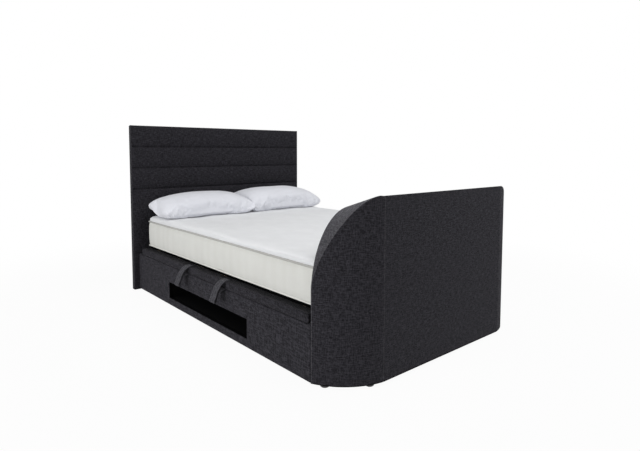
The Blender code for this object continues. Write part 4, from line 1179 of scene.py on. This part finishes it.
@dataclass
class Straps(Assembly):
    """Two pull straps of folded webbing, each a flattened loop from the lid's edge."""

    width: float = 0.055
    edge_x: float = -0.72
    steps: int = 10

    ROUTE = ((0.030, 0.3224), (0.016, 0.3226), (0.002, 0.3212), (-0.013, 0.3135),
             (-0.027, 0.3030), (-0.038, 0.2900), (-0.0475, 0.2735), (-0.0555, 0.2535),
             (-0.0625, 0.2365), (-0.0685, 0.2225), (-0.0680, 0.2140), (-0.0615, 0.2110),
             (-0.0550, 0.2160), (-0.0500, 0.2300), (-0.0440, 0.2480), (-0.0370, 0.2620),
             (-0.0280, 0.2710), (-0.0150, 0.2758), (0.002, 0.2765))
    UPPER_FACE = ((-0.5, 0.0022), (0.0, 0.0014), (0.5, 0.0022))
    LOWER_FACE = ((0.5, -0.0021), (0.0, -0.0016), (-0.5, -0.0021))
    SELVEDGE = (0.0008, 0.0016)

    def build(self) -> None:
        """Build both straps."""
        for title in ("foot", "head"):
            node = f"pull_strap_{title}"
            low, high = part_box(node)
            self.shop.piece(f"folded_strap_{title}", self.strap_shape((low.y + high.y) / 2),
                            [STRAP_WEB], "lid", "charcoal_webbing", node)

    def route(self) -> list[Vector]:
        """Smooth run of points in the strap's own plane.

        Returns:
            The points, through the given ones.
        """
        points = [Vector((x, z)) for x, z in self.ROUTE]
        padded = [points[0] * 2 - points[1]] + points + [points[-1] * 2 - points[-2]]
        run = []
        for index in range(1, len(padded) - 2):
            first, second, third, fourth = padded[index - 1:index + 3]
            for step in range(self.steps):
                share = step / self.steps
                run.append(0.5 * (2 * second + (third - first) * share
                                  + (2 * first - 5 * second + 4 * third - fourth) * share ** 2
                                  + (3 * second - first - 3 * third + fourth) * share ** 3))
        return run + [points[-1]]

    def band(self) -> list[Pair]:
        """Section of the webbing, thinner at its middle and its selvedges.

        Returns:
            Each point's place across it and out of it, once round.
        """
        half = self.width / 2
        inset, thick = self.SELVEDGE
        return [(-half, 0.0), (-half + inset, thick), *((half * x, z) for x, z in self.UPPER_FACE),
                (half - inset, thick), (half, 0.0), (half - inset, -thick),
                *((half * x, z) for x, z in self.LOWER_FACE), (-half + inset, -thick)]

    def strap_shape(self, middle: float) -> Shape:
        """A strap's band swept along its route.

        Args:
            middle: its place along the bed.

        Returns:
            The shape.
        """
        bm = bmesh.new()
        run = self.route()
        lengths = [0.0]
        rings = []
        for index, point in enumerate(run):
            after = run[min(index + 1, len(run) - 1)]
            tangent = (after - run[max(index - 1, 0)]).normalized()
            normal = Vector((tangent.y, -tangent.x))
            lengths.append(lengths[-1] + (after - point).length)
            rings.append(self.ring(bm, [
                (self.edge_x + point.x + (normal * out).x, middle + across,
                 point.y + (normal * out).y) for across, out in self.band()]))
        self.skin(bm, rings, lengths, lambda place: place.y - middle)
        for ring in (rings[0], rings[-1]):
            bmesh.ops.contextual_create(bm, geom=ring)
        bmesh.ops.recalc_face_normals(bm, faces=bm.faces)
        return bm


@dataclass
class Mattress(Assembly):
    """Sprung mattress: waved top, striped border, piped edges and a black underside, partly real
    cloth and partly painted shade under its edge.
    """

    corner: float = 0.021
    edge_inset: float = 0.010
    ring_out: float = 0.003
    piping_radius: float = 0.0052
    piping_inset: float = 0.0028
    piping_facets: int = 10
    columns: int = 84
    rows: int = 116
    wave: float = 0.0065
    wobble: float = 0.0014
    side_power: int = 40
    end_power: int = 56
    crown_power: float = 0.6
    wave_reach: float = 2.2
    seam_lift: float = 0.002
    top_heights: tuple[Pair, ...] = ((-0.917, 0.5425), (-0.3, 0.5470), (0.1, 0.5535),
                                     (0.983, 0.5570))
    heights: tuple[Pair, ...] = ((-0.917, 0.5130), (-0.48, 0.5150), (-0.26, 0.5165),
                                 (0.36, 0.5175), (0.66, 0.5150), (0.983, 0.5155))
    lower_heights: tuple[Pair, ...] = ((-0.917, 0.3460), (-0.3, 0.3450), (0.3, 0.3455),
                                       (0.983, 0.3440))
    _limits: tuple[Vector, Vector] = field(init=False)

    # the last rings take the black underside, partly real cloth and partly painted shade under the
    # mattress's edge
    RINGS = ((0.0045, 0.97, 0), (0.0035, 0.945, 1), (0.0, 0.90, 1), (-0.0035, 0.80, 1),
             (-0.0045, 0.65, 1), (-0.0045, 0.45, 1), (-0.0035, 0.25, 1), (-0.001, 0.10, 1),
             (0.002, 0.02, 1), (0.004, 0.0, 1), (0.0045, -0.3, 2), (0.0055, -0.7, 2),
             (0.0085, -0.93, 2), (0.016, -1.0, 2))
    """The border's rings: how far in, share of its height or of what is below it, finish."""
    ARC_STEPS = 8
    SPACING = 0.012

    def build(self) -> None:
        """Build the body and its two pipings."""
        self._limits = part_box("mattress")
        body = self.shop.piece("mattress_body", self.body_shape(), [TOP_PANEL, BORDER, UNDERCLOTH_AND_PAINTED_SHADE],
                               "lid", "ticking", "mattress", even_normals=False)
        for title, heights, radius, finish in (
                ("top", self.heights, self.piping_radius, PIPING),
                ("bottom", self.lower_heights, self.piping_radius * 0.75, LOWER_PIPING)):
            self.shop.piece(f"mattress_piping_{title}", self.piping_shape(heights, radius),
                            [finish], "lid", "ticking")

    @staticmethod
    def level(run: Sequence[Pair], y: float) -> float:
        """Height of a run of measured heights at a place along the bed."""
        return float(np.interp(y, [place for place, _ in run], [height for _, height in run]))

    def outline(self) -> list[Vector]:
        """Plan of the piping's middle, with rounded corners.

        Returns:
            The points, once round.
        """
        low, high = self._limits
        radius = self.corner - self.piping_inset
        points: list[Vector] = []
        corners = ((high.x, high.y), (low.x, high.y), (low.x, low.y), (high.x, low.y))
        for quarter, (x, y) in enumerate(corners):
            centre = Vector((x - math.copysign(self.corner, x), y - math.copysign(self.corner, y)))
            angles = [math.pi / 2 * (quarter + step / self.ARC_STEPS)
                      for step in range(self.ARC_STEPS + 1)]
            arc = [centre + radius * Vector((math.cos(angle), math.sin(angle))) for angle in angles]
            if points:
                self._run(points, arc[0])
            points.extend(arc)
        self._run(points, points[0])
        return points

    def _run(self, points: list[Vector], target: Vector) -> None:
        """Add evenly spaced points from the last one up to a target.

        Args:
            points: takes the new ones.
            target: where the run ends, itself left out.
        """
        start = points[-1]
        count = max(int((target - start).length / self.SPACING), 1)
        points.extend(start.lerp(target, index / count) for index in range(1, count))

    def surface(self, x: float, y: float) -> float:
        """Height of the waved top at a place of the plan.

        Args:
            x: place across the bed.
            y: place along it.

        Returns:
            The height.
        """
        low, high = self._limits
        across = abs(x) / high.x
        along = abs(y - (low.y + high.y) / 2) / ((high.y - low.y) / 2)
        rise = ((1 - min(across, 1.0) ** self.side_power)
                * (1 - min(along, 1.0) ** self.end_power)) ** self.crown_power
        waves = self.uneven(x, y, (5.2, 4.2), 0.4) + 0.5 * self.uneven(x, y, (11.0, 9.0), 2.4)
        edge = self.level(self.heights, y)
        crown = self.level(self.top_heights, y) - edge
        reach = min(rise * self.wave_reach, 1.0)
        return edge + crown * rise + self.wave * waves * reach + self.seam_lift

    def body_shape(self) -> Shape:
        """The mattress's body: a waved top drawn down in rings round its border.

        Returns:
            The shape.
        """
        low, high = self._limits
        middle_y = (low.y + high.y) / 2
        inset = self.edge_inset
        half = Vector(((high.x - low.x) / 2 - inset, (high.y - low.y) / 2 - inset))
        corner = self.corner - inset
        bm = bmesh.new()
        bmesh.ops.create_grid(bm, x_segments=self.columns, y_segments=self.rows, size=1)
        for vert in bm.verts:
            x = self.eased(vert.co.x) * half.x
            y = self.eased(vert.co.y) * half.y
            over = Vector((max(abs(x) - half.x + corner, 0), max(abs(y) - half.y + corner, 0)))
            if over.x > 0 and over.y > 0:
                pulled = over.normalized() * max(over)
                x = math.copysign(half.x - corner + pulled.x, x)
                y = math.copysign(half.y - corner + pulled.y, y)
            vert.co = (x, y + middle_y, self.surface(x, y + middle_y))
        rim = [edge for edge in bm.edges if edge.is_boundary]
        for ring_inset, level, number in self.RINGS:
            verts, faces, rim = self.draw_out(bm, rim)
            for vert in verts:
                self._lower(vert, inset - ring_inset - self.ring_out, level)
            for face in faces:
                face.material_index = number
            inset = ring_inset + self.ring_out
        for face in bmesh.ops.contextual_create(bm, geom=rim)["faces"]:
            face.material_index = 2
        bmesh.ops.recalc_face_normals(bm, faces=bm.faces)
        self.lay_cloth(bm)
        return bm

    def _lower(self, vert: Vert, out: float, level: float) -> None:
        """Move a border point outwards in plan and to its share of the border's height.

        Args:
            vert: the point.
            out: how far outwards.
            level: share of the border's height, or below 0 of what lies under it.
        """
        low, high = self._limits
        x, y = vert.co.x, vert.co.y - (low.y + high.y) / 2
        over = Vector((max(abs(x) - (high.x - self.corner), 0),
                       max(abs(y) - ((high.y - low.y) / 2 - self.corner), 0)))
        direction = Vector((math.copysign(over.x, x), math.copysign(over.y, y))).normalized()
        bottom = self.level(self.lower_heights, vert.co.y)
        span = self.level(self.heights, vert.co.y) - bottom if level > 0 else bottom - low.z
        push = out
        if 0 < level < 0.95:
            push += self.wobble * self.uneven(vert.co.x, vert.co.y, (9, 9), level * 3)
        vert.co = (vert.co.x + direction.x * push, vert.co.y + direction.y * push,
                   max(bottom + span * level, low.z))

    def piping_shape(self, run: Sequence[Pair], radius: float) -> Shape:
        """A cord of piping round the mattress.

        Args:
            run: its measured heights along the bed.
            radius: the cord's radius.

        Returns:
            The shape.
        """
        bm = bmesh.new()
        points = self.outline()
        angles = [2 * math.pi * turn / self.piping_facets for turn in range(self.piping_facets)]
        lengths = [0.0]
        rings = []
        for index, point in enumerate(points):
            after = points[(index + 1) % len(points)]
            tangent = (after - points[index - 1]).normalized()
            height = self.level(run, point.y)
            lengths.append(lengths[-1] + (after - point).length)
            rings.append(self.ring(bm, [
                (point.x + tangent.y * radius * math.cos(angle),
                 point.y - tangent.x * radius * math.cos(angle),
                 height + radius * math.sin(angle)) for angle in angles]))
        self.skin(bm, rings + rings[:1], lengths, lambda place: place.z)
        bmesh.ops.recalc_face_normals(bm, faces=bm.faces)
        return bm


@dataclass
class Pillows(Assembly):
    """Two stuffed pillows, blown up from flat sewn covers and laid on the mattress."""

    columns: int = 64
    rows: int = 40
    slack_share: float = 1.055
    voxel: float = 0.006
    frames: int = 22
    pressure: float = 4.0
    stiffness: float = 14.0
    shear_stiffness: float = 6.0
    bending_stiffness: float = 0.25
    cloth_mass: float = 0.25
    cap: float = 0.024
    rest_height: float = 0.5585
    soft_reach: float = 0.012
    seam_share: float = 0.392
    start_share: float = 0.9
    draw: Pair = (0.035, 0.070)
    corner_draw: Pair = (0.075, 0.150)
    corner_sag: Pair = (0.019, 0.006)
    front_sag: float = 0.052
    headroom: Pair = (0.010, 0.0)
    outer_power: float = 2.2
    inner_power: float = 4.2
    along_power: float = 2.2
    loft_power: float = 0.62
    under_loft: float = 1.7
    seam_ripple: float = 0.004
    fold_height: float = 0.003
    fold_start: float = 0.05
    overlap: float = 0.045
    squash: float = 0.011
    contact: float = -0.004
    meeting: float = 0.020
    lean: Pair = (0.012, 0.16)
    lean_reach: float = 0.30

    def build(self) -> None:
        """Build both pillows."""
        for title, seed, side in (("left", 3.0, Side.LEFT), ("right", 11.0, Side.RIGHT)):
            node = f"pillow_{title}"
            low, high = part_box(node)
            name = f"pillow_start_{title}"
            obj = in_scene(name, mesh_of(name, self.cover_shape(low, high, seed, side)))
            obj = self.inflated(obj)
            bm = bmesh.new()
            bm.from_mesh(obj.data)
            bpy.data.objects.remove(obj)
            self.settle(bm, seed)
            bmesh.ops.smooth_vert(bm, verts=bm.verts, factor=0.5, use_axis_x=True, use_axis_y=True,
                                  use_axis_z=True)
            self.keep_in(bm, low, high, side)
            self.meet(bm, low.y, side)
            piece = self.shop.piece(f"soft_pillow_{title}", bm, [LINEN], "lid", "cotton", node,
                                    even_normals=False)
            finer = piece.modifiers.new("finer", "SUBSURF")
            finer.levels = finer.render_levels = 1

    def cover_shape(self, low: Vector, high: Vector, seed: float, side: Side) -> Shape:
        """The filled cover before it is blown up: crowned both ways, its seam a thin edge.

        Args:
            low: lowest corner of the pillow's space.
            high: highest corner of it.
            seed: sets this pillow's own creases.
            side: the side of the bed, whose pillow is fuller towards the middle.

        Returns:
            The shape.
        """
        bm = bmesh.new()
        bmesh.ops.create_grid(bm, x_segments=self.columns, y_segments=self.rows, size=1)
        size = high - low
        middle = (low + high) / 2
        seam = low.z + size.z * self.seam_share
        under = bmesh.ops.duplicate(bm, geom=bm.verts[:] + bm.edges[:] + bm.faces[:])["geom"]
        lower = {item for item in under if isinstance(item, Vert)}
        for vert in bm.verts:
            across, along = self.eased(vert.co.x), self.eased(vert.co.y)
            inner = across * side.value < 0
            loft = 1 - abs(across) ** (self.inner_power if inner else self.outer_power)
            loft *= 1 - abs(along) ** self.along_power
            loft = max(loft, 0.0) ** self.loft_power
            rise = (high.z - seam) * loft
            if vert in lower:
                rise = -(seam - low.z) * min(loft * self.under_loft, 1.0)
            edge = max(abs(across), abs(along)) ** 3
            ripple = self.seam_ripple * edge * self.uneven(across, along, (9, 6), seed)
            corner = (across * along) ** 4 * (0.25 if inner else 1.0)
            back = 1 if along > 0 else 0
            pull = 1 - self.corner_draw[back] * corner
            hang = self.front_sag * max(-along, 0.0) ** 2 * (1 - across ** 4) * (1 - loft)
            reach = size.x / 2 + (self.overlap if inner else 0.0)
            x = across * (1 - self.draw[0] * (1 - along ** 2)) * pull * reach
            y = along * (1 - self.draw[1] * (1 - across ** 2)) * pull * size.y / 2
            z = seam + rise * self.start_share + ripple - hang - self.corner_sag[back] * corner
            vert.co = (middle.x + x, middle.y + y, z)
        bmesh.ops.remove_doubles(bm, verts=bm.verts, dist=self.MERGED)
        bmesh.ops.recalc_face_normals(bm, faces=bm.faces)
        return bm

    @staticmethod
    def applied(obj: Object) -> Object:
        """A copy of an object with its modifiers in its mesh; the old one goes.

        Args:
            obj: the object.

        Returns:
            The copy.
        """
        graph = bpy.context.evaluated_depsgraph_get()
        mesh = bpy.data.meshes.new_from_object(obj.evaluated_get(graph))
        made = in_scene(obj.name + "_set", mesh)
        bpy.data.objects.remove(obj)
        return made

    def inflated(self, obj: Object) -> Object:
        """Blow a cover up with a cloth simulation, no point moving past the cap.

        Args:
            obj: the cover.

        Returns:
            The blown-up cover.
        """
        remesh = obj.modifiers.new("even", "REMESH")
        remesh.mode = "VOXEL"
        remesh.voxel_size = self.voxel
        obj = self.applied(obj)
        start = self.points(obj)
        cloth = obj.modifiers.new("cloth", "CLOTH")
        settings = cloth.settings
        settings.quality = 6
        settings.mass = self.cloth_mass
        settings.tension_stiffness = settings.compression_stiffness = self.stiffness
        settings.shear_stiffness = self.shear_stiffness
        settings.bending_stiffness = self.bending_stiffness
        settings.use_pressure = True
        settings.uniform_pressure_force = self.pressure
        settings.effector_weights.gravity = 0
        settings.shrink_min = 1 - self.slack_share
        cloth.collision_settings.use_collision = False
        for step in range(1, self.frames + 1):
            bpy.context.scene.frame_set(step)
        obj = self.applied(obj)
        bpy.context.scene.frame_set(1)
        shift = self.points(obj) - start
        reach = np.linalg.norm(shift, axis=1, keepdims=True)
        shift *= np.minimum(1.0, self.cap / np.maximum(reach, 1e-9))
        log.info("%s: cloth moved %.1f mm at most", obj.name,
                 1000 * float(np.linalg.norm(shift, axis=1).max()))
        obj.data.vertices.foreach_set("co", (start + shift).astype(np.float32).ravel())
        return obj

    @staticmethod
    def points(obj: Object) -> np.ndarray:
        """Places of an object's points, a row each."""
        return np.array([vert.co[:] for vert in obj.data.vertices])

    def settle(self, bm: Shape, seed: float) -> None:
        """Press the pillow's underside on the mattress and give its top soft folds.

        Args:
            bm: the pillow.
            seed: sets this pillow's own creases.
        """
        for vert in bm.verts:
            over = vert.co.z - self.rest_height
            if over < self.soft_reach:
                pressed = math.exp((over - self.soft_reach) / self.soft_reach)
                vert.co.z = self.rest_height + self.soft_reach * pressed
            fold = self.fold_height * self.uneven(vert.co.x, vert.co.y, (5, 8), seed)
            vert.co.z += fold * self.share_of(over, self.fold_start)

    def meet(self, bm: Shape, front: float, side: Side) -> None:
        """Press the pillow's inner end on the other pillow, the right one leaning over the left.

        Args:
            bm: the pillow.
            front: place of its front along the bed.
            side: the side of the bed.
        """
        for vert in bm.verts:
            apart = side.value * vert.co.x - self.contact
            if apart < self.squash:
                pressed = self.squash * math.exp((apart - self.squash) / self.squash)
                vert.co.x = side.value * (self.contact + pressed)
            near = max(1 - abs(vert.co.x) / self.lean_reach, 0.0)
            vert.co.x += (self.lean[0] - self.lean[1] * (vert.co.y - front)) * near ** 2

    def keep_in(self, bm: Shape, low: Vector, high: Vector, side: Side) -> None:
        """Ease the pillow back into its space, where the filling pushed it out.

        Args:
            bm: the pillow.
            low: lowest corner of its space.
            high: highest corner of it.
            side: the side of the bed; the inner end may reach past the bed's middle.
        """
        inner_end = high if side is Side.LEFT else low
        inner_end.x = -side.value * self.meeting
        ceiling = high.z - side.pick(self.headroom)
        points = [vert.co for vert in bm.verts]
        for axis in range(3):
            least = min(point[axis] for point in points)
            most = max(point[axis] for point in points)
            if axis < 2:
                share = min((high[axis] - low[axis]) / (most - least), 1.0)
                middle = (low[axis] + high[axis]) / 2
                for point in points:
                    point[axis] = middle + (point[axis] - (least + most) / 2) * share
            elif most > ceiling:
                share = (ceiling - least) / (most - least)
                for point in points:
                    point[axis] = least + (point[axis] - least) * share


@dataclass
class Studio:
    """Pale floor, soft lights, and the camera of the view."""

    lens: float = 27.786
    sensor: float = 36.0
    camera_place: Place = (-2.0433, -2.5336, 1.0221)
    yaw: float = 0.7085
    pitch: float = 0.0701
    roll: float = 0.0015
    shift_y: float = -0.0612
    clip: Pair = (0.05, 200.0)
    lamp_size: float = 2.6
    floor_size: float = 60.0
    floor_tone: float = 0.62
    near_white: float = 0.955
    white_from: Pair = (1.6, 3.6)
    sky_light: float = 0.42

    LAMPS = (("overhead", (0.6, -1.6, 3.4), (0.1, -0.7, 0.3), 66.0),
             ("left", (-4.6, -0.3, 0.95), (0.0, 0.1, 0.35), 92.0),
             ("front", (-2.2, -5.0, 1.3), (0.0, -0.4, 0.5), 18.0))
    """Each lamp's name, place, target and power."""

    def build(self) -> None:
        """Place the camera, the lights, the floor and the sky, and set the view."""
        self.camera()
        self.lights()
        self.floor()
        self.sky()
        bpy.context.scene.view_settings.view_transform = "Standard"

    def camera(self) -> None:
        """The camera, turned by its yaw, pitch and roll."""
        data = bpy.data.cameras.new("camera")
        data.lens = self.lens
        data.sensor_width = self.sensor
        data.shift_y = self.shift_y
        data.clip_start, data.clip_end = self.clip
        forward = Vector((math.sin(self.yaw) * math.cos(self.pitch),
                          math.cos(self.yaw) * math.cos(self.pitch), -math.sin(self.pitch)))
        right = Vector((math.cos(self.yaw), -math.sin(self.yaw), 0))
        up = right.cross(forward)
        turned_right = right * math.cos(self.roll) + up * math.sin(self.roll)
        turned_up = up * math.cos(self.roll) - right * math.sin(self.roll)
        turn = Matrix((turned_right, turned_up, -forward)).transposed()
        camera = in_scene("camera", data)
        camera.matrix_world = Matrix.Translation(self.camera_place) @ turn.to_4x4()
        bpy.context.scene.camera = camera

    def lights(self) -> None:
        """Broad soft lamps: one overhead, one at the left, a weak one in front."""
        for name, place, target, power in self.LAMPS:
            data = bpy.data.lights.new(name, "AREA")
            data.shape = "DISK"
            data.size = self.lamp_size
            data.energy = power
            lamp = in_scene(name, data)
            lamp.location = place
            aim = Vector(target) - Vector(place)
            lamp.rotation_euler = aim.to_track_quat("-Z", "Y").to_euler()

    def floor(self) -> None:
        """A wide pale floor that shows white where no shadow falls on it."""
        bm = bmesh.new()
        bmesh.ops.create_grid(bm, x_segments=1, y_segments=1, size=self.floor_size / 2)
        floor = in_scene("studio_floor", mesh_of("studio_floor", bm))
        floor.data.materials.append(self.floor_material())

    @staticmethod
    def seen(board: Board) -> Signal:
        """Tell the rays that show the studio itself.

        Args:
            board: takes the nodes.

        Returns:
            1 for rays from the camera, a mirror or glass, otherwise 0.
        """
        path = board.node("ShaderNodeLightPath", {}, {})
        camera, glossy, through = (Signal(board, path.outputs[name]) for name in
                                   ("Is Camera Ray", "Is Glossy Ray", "Is Transmission Ray"))
        return board.math("MINIMUM", camera + glossy + through, 1.0)

    def floor_material(self) -> Material:
        """White to the eye, pale to the light, with a soft shadow left on it.

        Returns:
            The material.
        """
        board = Board(bpy.data.materials.new("studio_floor"))
        board.finish(Base_Color=(self.floor_tone,) * 3, Roughness=0.9, Specular_IOR_Level=0.0)
        glow = board.signal("ShaderNodeEmission", {}, {"Color": (1.0, 1.0, 1.0), "Strength": 1.0})
        distance = board.signal("ShaderNodeVectorMath", {"operation": "LENGTH"},
                                {0: board.object_place()}, "Value")
        white = self.near_white + distance.between(*self.white_from) * (1.0 - self.near_white)
        lit = Signal(board, board.tree.nodes["Principled BSDF"].outputs[0])
        mixed = board.signal("ShaderNodeMixShader", {},
                             {0: self.seen(board) * white, 1: lit, 2: glow})
        board.feed(board.tree.nodes["Material Output"].inputs["Surface"], mixed)
        return board.owner

    def sky(self) -> None:
        """White to the eye, a weaker even light on the bed."""
        world = bpy.data.worlds.new("studio_sky")
        bpy.context.scene.world = world
        board = Board(world)
        background = board.tree.nodes["Background"]
        strength = board.signal("ShaderNodeMapRange", {}, {
            "Value": self.seen(board), "To Min": self.sky_light, "To Max": 1.0})
        board.feed(background.inputs["Color"], (1.0, 1.0, 1.0))
        board.feed(background.inputs["Strength"], strength)


def main() -> None:
    """Build the scene in order."""
    logging.basicConfig(level=logging.INFO, format="%(name)s: %(message)s")
    Studio().build()
    shop = Workshop()
    for assembly in (Headboard, Footboard, Base, Straps, Mattress, Pillows):
        log.info("%s", assembly.__name__)
        assembly(shop).build()
    shop.dress_cad()


if __name__ == "__main__":
    main()
